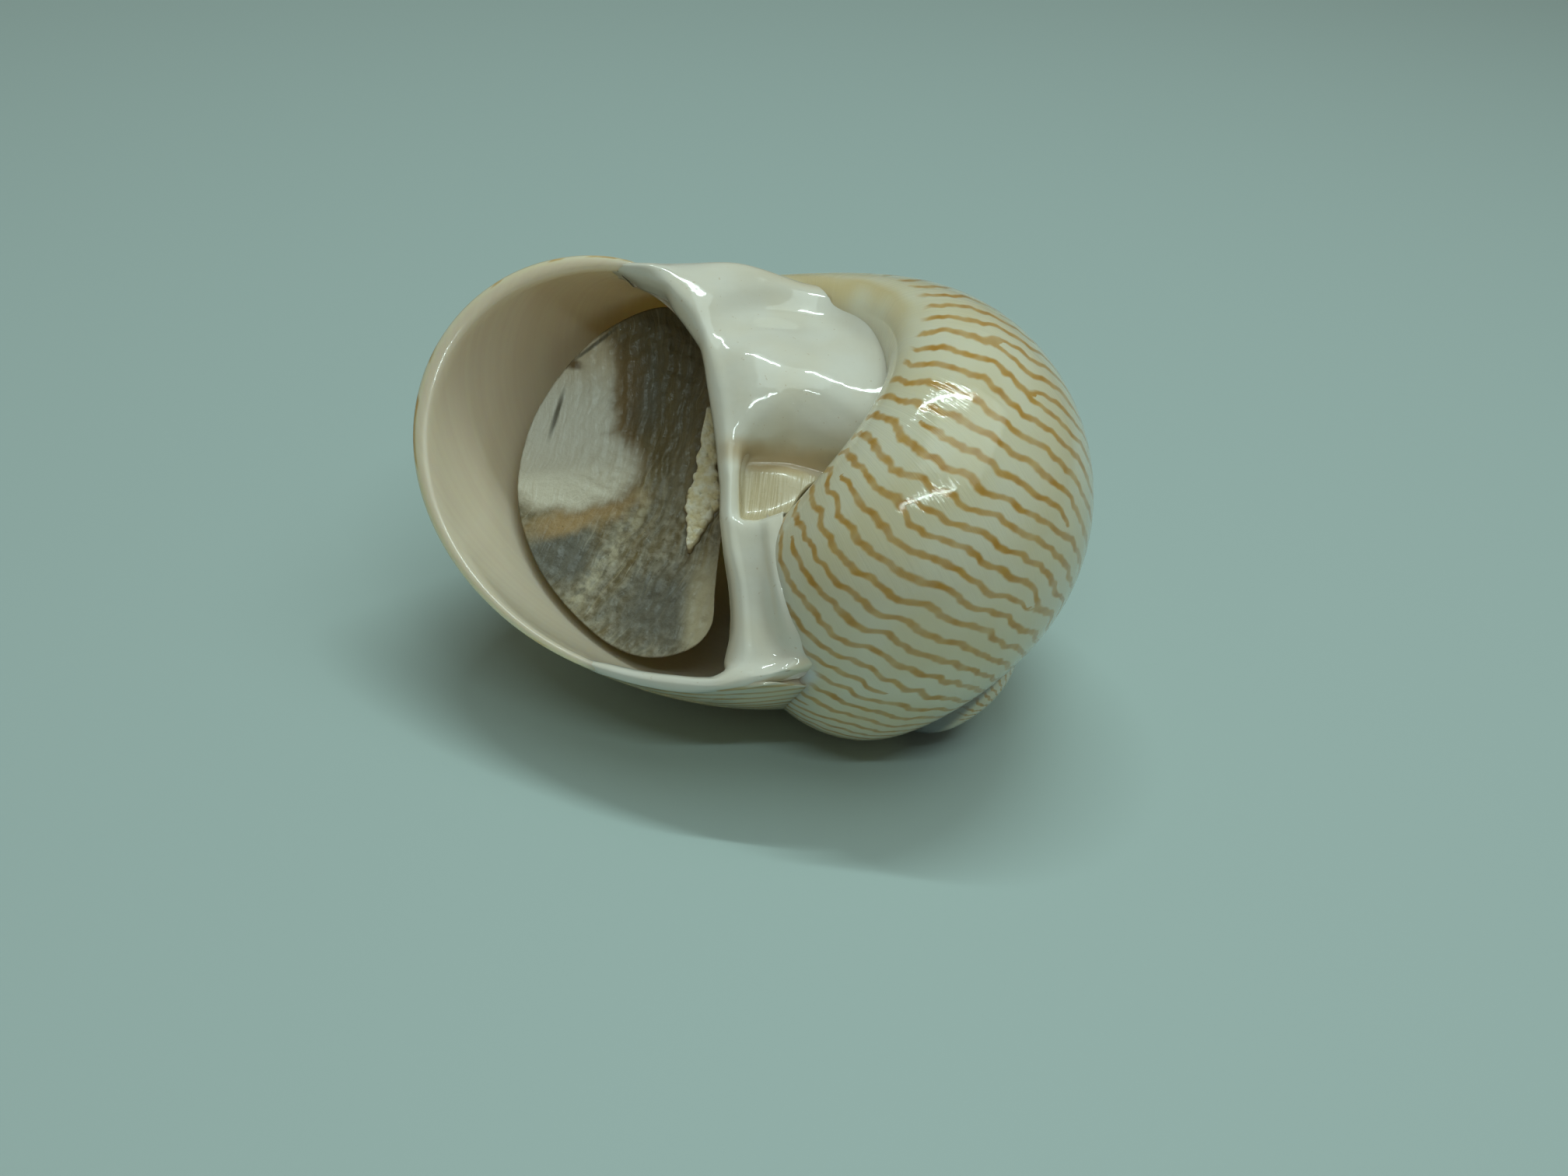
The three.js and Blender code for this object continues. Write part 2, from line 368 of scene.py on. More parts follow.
# inner lip: a white glaze that runs from the lip's front end down the mouth's edge, fills the umbilicus
# with its rib, spreads over the whorl before and ends along the lower lip. Each line crosses it from
# inside the mouth outwards; its points are millimetres to the right, up and out, facing the mouth, from
# the middle of that edge. Sets of four are shares of the way along the glaze: where something begins,
# is full, begins to end and has ended.
innerLip = {
    "origin": (5.97, -1.95, -14.59), "turn": 29.0, "rows": 340, "columns": 110, "backColumns": 8,
    "wallDepth": 4.2, "wallOutwards": 0.40, "wallFull": (0.032, 0.21, 0.80, 0.94),
    "thickness": (1.2, 0.4), "thickFull": (0.056, 0.162, 0.74, 0.84), "leastShare": 0.1,
    "sink": 0.12, "mergeReach": (1.2, 2.4), "mergedEnds": (0.0, 0.08, 0.95, 1.0), "foot": (-0.12, -0.02),
    "farEdge": (0.68, 0.97), "unmergedFarEdge": (0.18, 0.23, 0.69, 0.77),
    "coarse": (4, 3), "skinNear": 16, "skinAge": -8, "skinDepth": -0.8,
    "pressed": 0.3, "pressReach": 0.45, "pressedAge": -3.4, "pressedDepth": -0.9,
    "pressedAround": (0.585, 0.985), "pressingMerge": 0.25, "bareColumns": 14,
    "lines": {
        "start": (
            (-7.3, 12.35, -1.3), (-7.2, 12.3, -0.1), (-7.1, 12.55, 0.25), (-7.1, 12.85, -0.2),
            (-7.1, 13.15, -0.9), (-7.1, 13.4, -1.6), (-7.1, 13.6, -2.4)),
        "rimFront": (
            (-5.9, 12.15, -1.3), (-5.7, 12.1, -0.1), (-5.5, 12.45, 0.3), (-5.4, 12.8, -0.1),
            (-5.3, 13.15, -0.9), (-5.3, 13.55, -1.9), (-5.3, 13.9, -3.1)),
        "lipEdge": (
            (-4.8, 11.8, -1.3), (-4.6, 11.9, -0.2), (-4.3, 12.35, 0.2), (-4.2, 12.75, -0.4),
            (-4.1, 13.1, -1.3), (-4.1, 13.6, -2.5), (-4.1, 14.1, -4.0)),
        "lipFront": (
            (-3.8, 11.3, -0.9), (-3.5, 11.5, 0.1), (-3.2, 12.0, 0.1), (-2.9, 12.6, -0.5),
            (-2.6, 13.2, -1.5), (-2.4, 13.8, -2.9), (-2.3, 14.4, -4.8)),
        "lipTurn": (
            (-3.2, 10.5, -0.7), (-2.7, 10.8, 0.2), (-2.2, 11.5, 0.0), (-1.5, 12.3, -0.8),
            (-0.6, 13.2, -1.9), (0.9, 13.9, -4.0), (3.0, 14.1, -5.4)),
        "baseRidge": (
            (-2.4, 9.5, -0.6), (-1.9, 10.0, 0.2), (-1.4, 10.7, -0.1), (-0.7, 11.5, -1.0),
            (0.7, 12.5, -2.7), (2.8, 12.9, -4.1), (6.6, 11.2, -2.8)),
        "channel": (
            (-1.8, 8.6, -0.6), (-1.4, 9.1, 0.1), (-0.9, 9.8, -0.4), (-0.2, 10.5, -1.5),
            (0.9, 11.1, -2.9), (3.1, 11.2, -4.05), (7.2, 8.9, -2.1)),
        "funicleEdge": (
            (-1.5, 7.7, -0.6), (-1.1, 8.2, 0.1), (-0.6, 8.6, -0.1), (0.3, 9.1, -0.7),
            (1.7, 9.5, -1.6), (3.3, 9.4, -2.6), (7.2, 7.3, -1.7)),
        "funicleTop": (
            (-1.3, 6.8, -0.6), (-0.8, 7.2, 0.1), (-0.2, 7.5, 0.1), (0.8, 7.9, 0.0),
            (2.0, 8.2, -0.6), (3.5, 8.0, -1.4), (7.0, 6.0, -1.3)),
        "funicleBack": (
            (-1.0, 5.5, -0.6), (-0.4, 5.7, 0.1), (0.2, 6.0, 0.2), (1.1, 6.4, 0.2),
            (2.1, 6.9, -0.1), (3.5, 6.9, -0.9), (6.8, 5.0, -1.1)),
        "funicleCrest": (
            (-0.7, 4.1, -0.6), (-0.1, 4.2, 0.1), (0.4, 4.4, 0.1), (1.3, 4.9, 0.0),
            (2.2, 5.5, -0.2), (3.5, 6.0, -0.9), (6.3, 4.3, -1.3)),
        "funicleFoot": (
            (-0.5, 2.9, -0.6), (0.1, 3.1, 0.1), (0.5, 3.3, -0.1), (1.0, 3.8, -0.6),
            (2.0, 4.3, -0.9), (3.2, 4.8, -1.3), (5.8, 3.5, -1.8)),
        "furrow": (
            (-0.4, 2.3, -0.6), (0.2, 2.4, 0.1), (0.6, 2.5, -0.2), (0.6, 3.2, -1.5),
            (1.4, 3.3, -1.9), (2.4, 3.3, -2.2), (4.3, 3.0, -2.8)),
        "shelfTop": (
            (-0.3, 1.7, -0.6), (0.3, 1.9, 0.1), (0.6, 2.1, -0.2), (0.6, 2.5, -1.35),
            (1.5, 2.6, -1.65), (2.4, 2.6, -1.85), (3.4, 2.2, -2.2)),
        "shelfFoot": (
            (-0.2, 0.2, -0.6), (0.4, 0.2, 0.1), (0.7, 0.4, -0.2), (0.8, 0.4, -1.0),
            (1.3, 0.4, -1.1), (1.9, 0.4, -1.1), (2.8, 0.7, -1.2)),
        "ledge": (
            (-0.1, -0.4, -0.6), (0.45, -0.3, 0.1), (0.8, -0.2, 0.1), (1.2, -0.15, 0.0),
            (1.8, -0.2, 0.1), (2.3, -0.1, 0.3), (2.9, 0.1, 0.3)),
        "callus": (
            (0.05, -1.4, -0.7), (0.65, -1.4, 0.1), (1.1, -1.4, 0.1), (1.6, -1.3, 0.2),
            (2.1, -1.4, 0.4), (2.6, -1.5, 0.8), (3.3, -1.5, 0.9)),
        "callusMiddle": (
            (0.4, -3.3, -0.9), (1.15, -3.3, 0.0), (1.55, -3.3, 0.1), (2.1, -3.3, 0.3),
            (2.6, -3.4, 0.6), (3.1, -3.5, 1.0), (3.7, -3.4, 0.9)),
        "callusBack": (
            (0.55, -5.0, -0.9), (1.4, -5.2, 0.0), (1.8, -5.2, 0.0), (2.4, -5.2, 0.0),
            (2.9, -5.2, 0.2), (3.5, -5.2, 0.5), (4.2, -5.2, 0.5)),
        "corner": (
            (0.4, -6.3, -0.8), (1.4, -6.4, 0.0), (1.9, -6.4, 0.0), (2.5, -6.4, 0.0),
            (3.1, -6.3, -0.1), (3.8, -6.2, 0.0), (4.6, -6.2, -0.1)),
        "cornerTurn": (
            (0.4, -6.75, -0.8), (0.9, -6.9, 0.1), (1.5, -7.05, 0.3), (2.1, -7.1, 0.3),
            (2.8, -7.0, 0.25), (3.6, -6.8, 0.1), (4.5, -6.7, -0.2)),
        "endRidge": (
            (0.0, -6.95, -0.8), (0.5, -7.2, 0.2), (1.2, -7.3, 0.35), (2.0, -7.25, 0.3),
            (2.8, -7.1, 0.2), (3.6, -6.9, -0.1), (4.4, -6.85, -0.6)),
        "lipCorner": (
            (-0.5, -7.0, -0.8), (-0.1, -7.3, 0.25), (0.5, -7.55, 0.35), (1.3, -7.6, 0.2),
            (2.1, -7.45, 0.0), (2.9, -7.25, -0.4), (3.8, -7.05, -1.0)),
        "lipBehind": (
            (-1.6, -6.95, -0.8), (-1.5, -7.2, 0.2), (-1.3, -7.5, 0.35), (-1.0, -7.75, 0.2),
            (-0.7, -7.85, 0.0), (-0.3, -7.9, -0.3), (0.1, -7.9, -0.8)),
        "lipLow": (
            (-3.3, -6.75, -0.8), (-3.25, -7.0, 0.15), (-3.15, -7.25, 0.3), (-3.0, -7.45, 0.2),
            (-2.9, -7.6, 0.0), (-2.8, -7.7, -0.3), (-2.7, -7.75, -0.8)),
        "lipSide": (
            (-5.05, -6.4, -0.7), (-5.0, -6.6, 0.1), (-5.0, -6.8, 0.25), (-4.95, -7.0, 0.15),
            (-4.9, -7.1, 0.0), (-4.9, -7.2, -0.3), (-4.9, -7.25, -0.8)),
        "end": (
            (-6.75, -5.95, -0.6), (-6.75, -6.1, 0.1), (-6.8, -6.2, 0.2), (-6.85, -6.35, 0.1),
            (-6.9, -6.45, -0.1), (-6.95, -6.55, -0.4), (-7.0, -6.6, -0.8)),
    },
}


# directions across, up and out of the mouth, in the shell's own frame
def mouthAxes():
    sideways = np.cross(lipNormal, (0, 0, 1))
    sideways = sideways / np.linalg.norm(sideways)
    upward = np.cross(lipNormal, sideways)
    turned = np.radians(innerLip["turn"])
    right = sideways * np.cos(turned) - upward * np.sin(turned)
    up = sideways * np.sin(turned) + upward * np.cos(turned)
    return np.stack([right, up, lipNormal])


# a sheet drawn through lines of points: a curve along each line, then a curve through the lines
def sheet(lines, alongLines, alongPoints):
    crossed = np.stack([spline(line, alongPoints) for line in lines])
    return spline(crossed.reshape(len(lines), -1), alongLines).reshape(len(alongLines), -1, 3)


mouth = mouthAxes()


# rises from 0 to 1 between the first two values and falls again between the last two
def between(value, riseFrom, riseTo, fallFrom, fallTo):
    return smooth(value, riseFrom, riseTo) * (1 - smooth(value, fallFrom, fallTo))


# the front of the glaze: first a row of points deep inside the mouth, then the lines as drawn
def innerLipFront():
    lip = innerLip
    drawn = np.array(list(lip["lines"].values()))
    deeper = mix(lip["leastShare"], 1, between(np.linspace(0, 1, len(drawn)), *lip["wallFull"]))[:, None, None]
    foot = drawn[:, :1] + deeper * np.array((lip["wallOutwards"], 0, -lip["wallDepth"]))
    lines = np.concatenate([foot, drawn], 1)
    alongLines = np.linspace(0, 1, lip["rows"])
    alongPoints = np.linspace(0, 1, lip["columns"])
    return sheet(lines, alongLines, alongPoints)


# the sheet closed at the back, some way below its front
def innerLipPoints(front):
    lip = innerLip
    back = front[:, np.linspace(lip["columns"] - 1, 0, lip["backColumns"]).astype(int)].copy()
    along = np.linspace(0, 1, lip["rows"])[:, None]
    thickness = np.linspace(lip["thickness"][1], lip["thickness"][0], lip["backColumns"])
    back[..., 2] -= thickness * mix(lip["leastShare"], 1, between(along, *lip["thickFull"]))
    return np.concatenate([front, back], 1)


# rows and columns of the shell's surface
detail = {
    "lastRows": 270, "olderRows": 120, "startRows": 5, "columns": 200, "rimRows": 9, "hollowRows": 50,
    "deepRows": 12, "seamAround": 0.64, "turnsDeep": (2.2, 5.4), "rimBulge": 0.3, "mostBulge": 0.2,
    "tipDome": 0.9, "backBend": 0.42,
}

# on its inner side the wall is shaved thin towards the lip, to leave room for the glaze on it
shaved = {"from": -0.7, "around": (0.58, 0.64, 0.93, 0.99), "share": 0.72, "depth": 1.8}


# rings of the outer surface: each is one growth line, an angle behind the lip that is the same all round
# it; the first few close the tip like a dome
def outerRings(around, lipAngle):
    lastTurnSize = np.exp(-growth["rate"] * turn)
    firstAge = -turn * growth["turnsBuilt"]
    sizes = np.concatenate([
        np.linspace(np.exp(growth["rate"] * firstAge), lastTurnSize, detail["olderRows"])[:-1],
        np.linspace(lastTurnSize, 1, detail["lastRows"])])
    dome = np.linspace(pi / 2, 0, detail["startRows"] + 2)[1:-1]
    age = np.concatenate([firstAge - detail["tipDome"] * np.sin(dome), np.log(sizes) / growth["rate"]])
    scale = np.concatenate([np.cos(dome), np.ones(len(sizes))])
    angles = age[:, None] + lipAngle[None, :]
    points, ovalAngle = whorl(angles, np.broadcast_to(around, angles.shape), scale[:, None])
    return softenCorner(points, around), age, angles, ovalAngle


# the hollow's columns face the whorl's columns across the rim of the lip
def facingColumns(around):
    arc, hollowArc = outlines["arcShare"], outlines["hollowShare"]
    lateStart, lateEnd = outlines["late"]["start"], outlines["late"]["end"]
    hollowStart, hollowEnd = outlines["hollowLate"]["start"], outlines["hollowLate"]["end"]
    facing = mix(lateStart, lateEnd, around / arc)
    bend = detail["backBend"]
    towardsBack = hollowEnd * np.tanh(facing / bend) / np.tanh(lateEnd / bend)
    bent = np.where(facing < 0, facing * hollowStart / lateStart, towardsBack)
    onArc = (bent - hollowStart) / (hollowEnd - hollowStart) * hollowArc
    return np.where(around <= arc, onArc, hollowArc + (around - arc) / (1 - arc) * (1 - hollowArc))


def innerRings(aroundHollow, hollowLip):
    near, far = detail["turnsDeep"]
    depth = np.concatenate([
        np.linspace(0, -near, detail["hollowRows"]), np.linspace(-near, -far, detail["deepRows"])[1:]])
    angles = depth[:, None] + hollowLip[None, :]
    points, ovalAngle = hollow(angles, np.broadcast_to(aroundHollow, angles.shape))
    return softenCorner(points, aroundHollow), depth, angles, ovalAngle


around = (detail["seamAround"] + np.arange(detail["columns"]) / detail["columns"]) % 1
outerPoints, age, angles, ovalAngle = outerRings(around, lipAngles(whorl, around))
aroundHollow = facingColumns(around)
innerPoints, depth, hollowAngles, hollowOval = innerRings(aroundHollow, lipAngles(hollow, aroundHollow))

risingAge = smooth(age, shaved["from"], 0)[:, None, None]
innerSide = between(around, *shaved["around"])[None, :, None]
shaving = shaved["share"] * (innerPoints[0] - outerPoints[-1]) - shaved["depth"] * lipNormal
outerPoints = outerPoints + risingAge * innerSide * shaving


# the rim goes from the outer edge to the inner one, rounded outwards by up to 0.2 mm
def rimBetween(outerEdge, innerEdge):
    across = np.linspace(0, 1, detail["rimRows"] + 2)[1:-1, None, None]
    thickness = np.linalg.norm(outerEdge - innerEdge, axis=-1, keepdims=True)
    rounded = np.sin(pi * across) ** 0.7 * np.minimum(thickness * detail["rimBulge"], detail["mostBulge"])
    return mix(outerEdge, innerEdge, across) + lipNormal * rounded, across


# directions square to the surface of a grid of rings, out of the shell's wall: the cross product of the
# steps to the neighbours, turned so that those of a ring well before the rim point away from its middle
def gridNormals(rings, judged=100):
    across = np.roll(rings, -1, 1) - np.roll(rings, 1, 1)
    square = np.cross(across, np.gradient(rings, axis=0))
    square = square / np.maximum(np.linalg.norm(square, axis=-1, keepdims=True), 1e-9)
    outwards = (square[judged] * (rings[judged] - rings[judged].mean(0))).sum()
    return square * np.sign(outwards)


# 1 at both ends of the glaze, along the far edge next to them and deep inside the mouth, where it thins
# out into the shell, and 0 elsewhere
def mergeShare():
    across = np.linspace(0, 1, innerLip["columns"])[None, :]
    along = np.linspace(0, 1, innerLip["rows"])[:, None]
    ends = 1 - between(along, *innerLip["mergedEnds"])
    foot = smooth(-across, *innerLip["foot"])
    far = smooth(across, *innerLip["farEdge"]) * (1 - between(along, *innerLip["unmergedFarEdge"]))
    return np.maximum(np.maximum(ends, foot), far)


# values of a coarse grid, drawn out to all rows and columns by straight lines
def drawnOut(coarse, rows, columns):
    for axis, count in ((0, rows), (1, columns)):
        at = np.linspace(0, coarse.shape[axis] - 1, count)
        i = np.minimum(at.astype(int), coarse.shape[axis] - 2)
        shape = [1] * coarse.ndim
        shape[axis] = -1
        coarse = mix(np.take(coarse, i, axis), np.take(coarse, i + 1, axis), (at - i).reshape(shape))
    return coarse


# steps between neighbours in a grid are evened out along both of its sides: each value becomes half
# itself and a quarter of each neighbour, some times over
def evened(grid, times=5):
    for axis in (0, 1) * times:
        padded = np.concatenate([grid.take([0], axis), grid, grid.take([-1], axis)], axis)
        places = np.arange(grid.shape[axis])
        grid = (padded.take(places, axis) + 2 * grid + padded.take(places + 2, axis)) / 4
    return grid


# where the glaze thins out, its points move towards the nearest place of the shell's skin, to end up
# just below it; the moves are found on a coarse grid, some points at a time to keep the tables small
def mergeGlaze(front, rings):
    lip = innerLip
    rows, columns = front.shape[:2]
    sides = zip(front.shape, lip["coarse"])
    near = front[np.ix_(*(np.linspace(0, count - 1, count // each).astype(int) for count, each in sides))]
    skin, square = rings[::2].reshape(-1, 3), gridNormals(rings)[::2].reshape(-1, 3)
    close = (np.abs(skin - near.reshape(-1, 3).mean(0)) < lip["skinNear"]).all(-1)
    skin, square = skin[close], square[close]
    moves = []
    for part in np.array_split(near.reshape(-1, 3), 60):
        nearest = ((part[:, None] - skin[None]) ** 2).sum(-1).argmin(1)
        above = ((part - skin[nearest]) * square[nearest]).sum(-1, keepdims=True)
        sunk = np.clip(above + lip["sink"], 0, farAway) * (1 - smooth(above, *lip["mergeReach"]))
        moves.append(-sunk * square[nearest])
    moves = evened(np.concatenate(moves).reshape(near.shape))
    return front + merging[..., None] * drawnOut(moves, rows, columns)


merging = mergeShare()
firstRim = rimBetween(outerPoints[-1][None], innerPoints[0][None])[0]
skinRings = np.concatenate([
    outerPoints[age > innerLip["skinAge"]], firstRim, innerPoints[depth > innerLip["skinDepth"]]])
lipFront = mergeGlaze(innerLipFront(), (skinRings - innerLip["origin"]) @ mouth.T)

# where the glaze lies over the wall, the wall is pressed some way below the lowest glaze around it; the
# glaze's last columns and its thinned ends press nothing
everyRow, everyColumn = innerLip["coarse"]
pressing = (slice(None, None, everyRow), slice(None, -innerLip["bareColumns"], everyColumn))
glazePoints = lipFront[pressing][merging[pressing] < innerLip["pressingMerge"]]


# no point may stand higher, out of the mouth, than the lowest glaze within reach of it, less a gap
def pressedBelow(points):
    flat = (points.reshape(-1, 3) - innerLip["origin"]) @ mouth.T
    rooms = []
    for part in np.array_split(flat, 80):
        away = ((part[:, None, :2] - glazePoints[None, :, :2]) ** 2).sum(-1)
        rooms.append(np.where(away < innerLip["pressReach"] ** 2, glazePoints[:, 2], farAway).min(1))
    flat[:, 2] = np.minimum(flat[:, 2], np.concatenate(rooms) - innerLip["pressed"])
    return np.array(innerLip["origin"]) + (flat @ mouth).reshape(points.shape)


lowest, highest = innerLip["pressedAround"]
pressedColumns = (around > lowest) & (around < highest)
wall = np.ix_(age > innerLip["pressedAge"], pressedColumns)
outerPoints[wall] = pressedBelow(outerPoints[wall])
edgeWall = np.ix_(depth > innerLip["pressedDepth"], pressedColumns)
innerPoints[edgeWall] = pressedBelow(innerPoints[edgeWall])

rimPoints, share = rimBetween(outerPoints[-1][None], innerPoints[0][None])
rings = np.concatenate([outerPoints, rimPoints, innerPoints])
print("shell rings", rings.shape)

# stripes: lines per radian, the angle that one of them starts from, and where each line bends back as it
# climbs from the umbilicus to the suture, as radians of turn for each radian of the oval
stripes = {
    "perRadian": 6.3, "from": -5.52, "extraFrom": -3.0, "extra": 0.3,
    "bendAt": (-2.2, -1.5, -1.2, -0.9, -0.6, -0.3, 0.0, 0.9, 1.6),
    "bend": (0.1, 0.1, 0.0, 0.12, 0.3, 0.45, 0.5, 0.5, 0.5), "straightAt": -0.9,
    "lateBendAt": (-0.4, 0.0, 0.35, 0.7, 1.2), "lateBend": (0.0, 0.25, 0.9, 1.6, 1.0), "lateStraightAt": -0.4,
    "forksFrom": -12.0, "forksTo": 0.9, "seed": 7, "forkTall": 5.8, "forkWide": 9,
}

# rows of forks: 1 or -1 for lines that begin or end there, forks per radian, and the oval's angles that
# they lie between
forkRows = ((-1, 2.8, -1.45, -0.6), (1, 1.8, -0.2, 0.6), (1, 1.8, 0.6, 1.2))


# running total of a slope given at a few places, counted from zeroAt
def totalOf(places, slopes, value, zeroAt):
    fine = np.linspace(places[0], places[-1], 400)
    total = np.concatenate([[0], np.cumsum(np.interp(fine[1:], places, slopes)) * (fine[1] - fine[0])])
    return np.interp(value, fine, total) - np.interp(zeroAt, fine, total)


# number of stripes passed since the first: the turn less the bend, times the stripes per radian; a fork,
# where a line begins or ends, adds the share of a full circle that its own direction makes
def stripeCount(angle, ovalAngle):
    g = stripes
    late = np.clip((angle + pi) / pi, 0, 1) ** 2
    bend = totalOf(g["bendAt"], g["bend"], ovalAngle, g["straightAt"])
    bend = bend + late * totalOf(g["lateBendAt"], g["lateBend"], ovalAngle, g["lateStraightAt"])
    straight = angle - bend
    closer = g["extra"] * np.maximum(0, straight - g["extraFrom"]) ** 2
    count = g["perRadian"] * (straight - g["from"]) + closer
    forks = np.zeros(count.shape)
    dice = np.random.default_rng(g["seed"])
    for sign, density, lowest, highest in forkRows:
        number = int((g["forksTo"] - g["forksFrom"]) * density)
        places = g["forksFrom"] + (np.arange(number) + dice.uniform(0.15, 0.85, number)) / density
        heights = dice.uniform(lowest, highest, number)
        for forkAt, height in zip(places, heights):
            above, beside = (ovalAngle - height) * g["forkTall"], (straight - forkAt) * g["forkWide"]
            forks = forks + sign * np.arctan2(above, beside) / turn
    return count, forks


# zones of the shell's skin, each 0 to 1. Turns are radians round the axis, below 0 behind the lip;
# ringTurn and nucleusTurn are counted back from it. The ring's width is its narrowest, what is added
# where it is widest, where that is, and how far that spreads.
zones = {
    "linesFrom": (-11.8, -10.6), "umbilicalEnd": -1.72, "umbilicalShift": 0.17, "umbilicalTurn": (-4.6, -3.2),
    "lineFade": 0.16, "glazeStart": (-7.5, -7), "glazeTurn": (-5.60, -5.53), "glazeTop": (-0.16, -0.06),
    "ringWidth": (0.10, 0.72, -12.9, 1.5), "ringFade": (0.55, 1.1), "ringTurn": (8.0, 12.6),
    "nucleusTurn": (15.8, 17.4), "coverEnd": 0.6, "rimLines": (1.3, 4), "rimInside": (0.1, 0.5),
}


# distance in millimetres from a point of one whorl to the skin of the whorl that grew over it: the point
# is put in that whorl's own circle, and what it lies outside it is scaled by the oval's half width
def coverDistance(points, angle):
    g = growth
    later = angle + turn
    size = np.exp(g["rate"] * later)
    late = lateness(later)
    lean = g["ovalLean"] + g["lateLean"] * late
    radius = np.hypot(points[..., 0], points[..., 1])
    radius = radius - g["ovalRadius"] * size ** g["radiusPower"] + g["lateDrawIn"] * late
    height = points[..., 2] + g["ovalDrop"] * size ** g["dropPower"]
    across = (radius * np.cos(lean) + height * np.sin(lean)) / (g["ovalHalfWidth"] * size)
    tall = g["ovalHalfHeight"] * size * (1 + g["lateTaller"] * late)
    along = (height * np.cos(lean) - radius * np.sin(lean)) / tall
    away = (np.hypot(across, along) - 1) * g["ovalHalfWidth"] * size
    return np.where(later > zones["coverEnd"], farAway, away)


# stripes fade in above the umbilicus, the glaze covers the whorl below the callus, the ring follows the
# suture of the early whorls, and the nucleus is the dark tip
def skinZones():
    z = zones
    end = z["umbilicalEnd"] + z["umbilicalShift"] * smooth(angles, *z["umbilicalTurn"])
    lined = np.clip((ovalAngle - end) / z["lineFade"], 0, 1.5) * smooth(angles, *z["linesFrom"])
    glaze = (1 - smooth(angles, *z["glazeTurn"])) * (1 - smooth(ovalAngle, *z["glazeTop"]))
    glaze = glaze * smooth(angles, *z["glazeStart"])
    narrow, wide, middle, spread = z["ringWidth"]
    oval = growth["ovalHalfWidth"] * np.exp(growth["rate"] * angles)
    width = oval * (narrow + wide * np.exp(-((angles - middle) / spread) ** 2))
    full, none = z["ringFade"]
    ring = (1 - smooth(cover, width * full, width * none)) * smooth(-angles, *z["ringTurn"])
    ring = np.where(angles > z["coverEnd"] - turn, 0, ring)
    return lined, glaze, ring, smooth(-angles, *z["nucleusTurn"])


cover = coverDistance(outerPoints, angles)
lined, glaze, ring, nucleus = skinZones()
rimShape = (len(rimPoints), detail["columns"])


# one value for every point of the shell's mesh: outer rings, rim, hollow, and the two poles
def whole(outer, rim, inner):
    grid = np.concatenate([outer, rim, inner])
    return np.concatenate([grid.reshape(-1, *grid.shape[2:]), grid[0, :1], grid[-1, :1]])


noSkin, noRim, noHollow = np.zeros(angles.shape), np.zeros(rimShape), np.zeros(innerPoints.shape[:2])
rimShare = np.broadcast_to(share[..., 0], rimShape)
fromFull, fading = zones["rimLines"]
deepness = np.broadcast_to(-depth[:, None], noHollow.shape)
shellPoints, shellFaces = closedTube(rings)
shellPaint, nodes, shader = newMaterial("shellPorcelain")
shellPiece = makeMesh("shellSurface", toTable(shellPoints), shellFaces, shellPaint)
storeTurns(shellPiece, "stripes", *(
    whole(turns, np.broadcast_to(turns[-1:], rimShape), noHollow) for turns in stripeCount(angles, ovalAngle)))
storePoints(shellPiece, "growth", np.stack([
    whole(angles, np.broadcast_to(angles[-1:], rimShape), hollowAngles),
    whole(ovalAngle, np.broadcast_to(ovalAngle[-1:], rimShape), hollowOval),
    whole(cover, noRim + farAway, noHollow + farAway)], -1))
storePoints(shellPiece, "zones", np.stack([
    whole(lined * (1 - glaze), np.clip(fromFull - rimShare * fading, 0, 1), noHollow),
    whole(ring, noRim, noHollow), whole(nucleus, noRim, noHollow)], -1))
storePoints(shellPiece, "inside", np.stack([
    whole(noSkin, smooth(rimShare, *zones["rimInside"]), noHollow + 1),
    whole(noSkin, noRim, deepness), whole(glaze, noRim, noHollow)], -1))
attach(shellPiece, "root")
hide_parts("shell")
print("shell surface", len(shellPiece.data.polygons))


# fine growth lines that run with the lip: a height from two noises, drawn long across the turn
def fineGrowthGroup():
    group = bpy.data.node_groups.new("fineGrowth", "ShaderNodeTree")
    group.interface.new_socket("Turn", in_out="INPUT", socket_type="NodeSocketFloat")
    group.interface.new_socket("Oval", in_out="INPUT", socket_type="NodeSocketFloat")
    group.interface.new_socket("Height", in_out="OUTPUT", socket_type="NodeSocketFloat")
    start, end = group.nodes.new("NodeGroupInput"), group.nodes.new("NodeGroupOutput")
    n = Nodes(group)
    coarse = n.drift(start.outputs["Turn"], start.outputs["Oval"], 34.0, 1.6, 1.0)
    fine = n.drift(start.outputs["Turn"], start.outputs["Oval"], 130.0, 2.4, 0.5)
    group.links.new(n.plus(coarse, fine), end.inputs["Height"])
    return group


fineGrowth = fineGrowthGroup()


# the group placed in a material
def fineGrowthHeight(n, turnSocket, ovalSocket):
    node = n.tree.nodes.new("ShaderNodeGroup")
    node.node_tree = fineGrowth
    n.plug(turnSocket, node.inputs["Turn"])
    n.plug(ovalSocket, node.inputs["Oval"])
    return node.outputs["Height"]


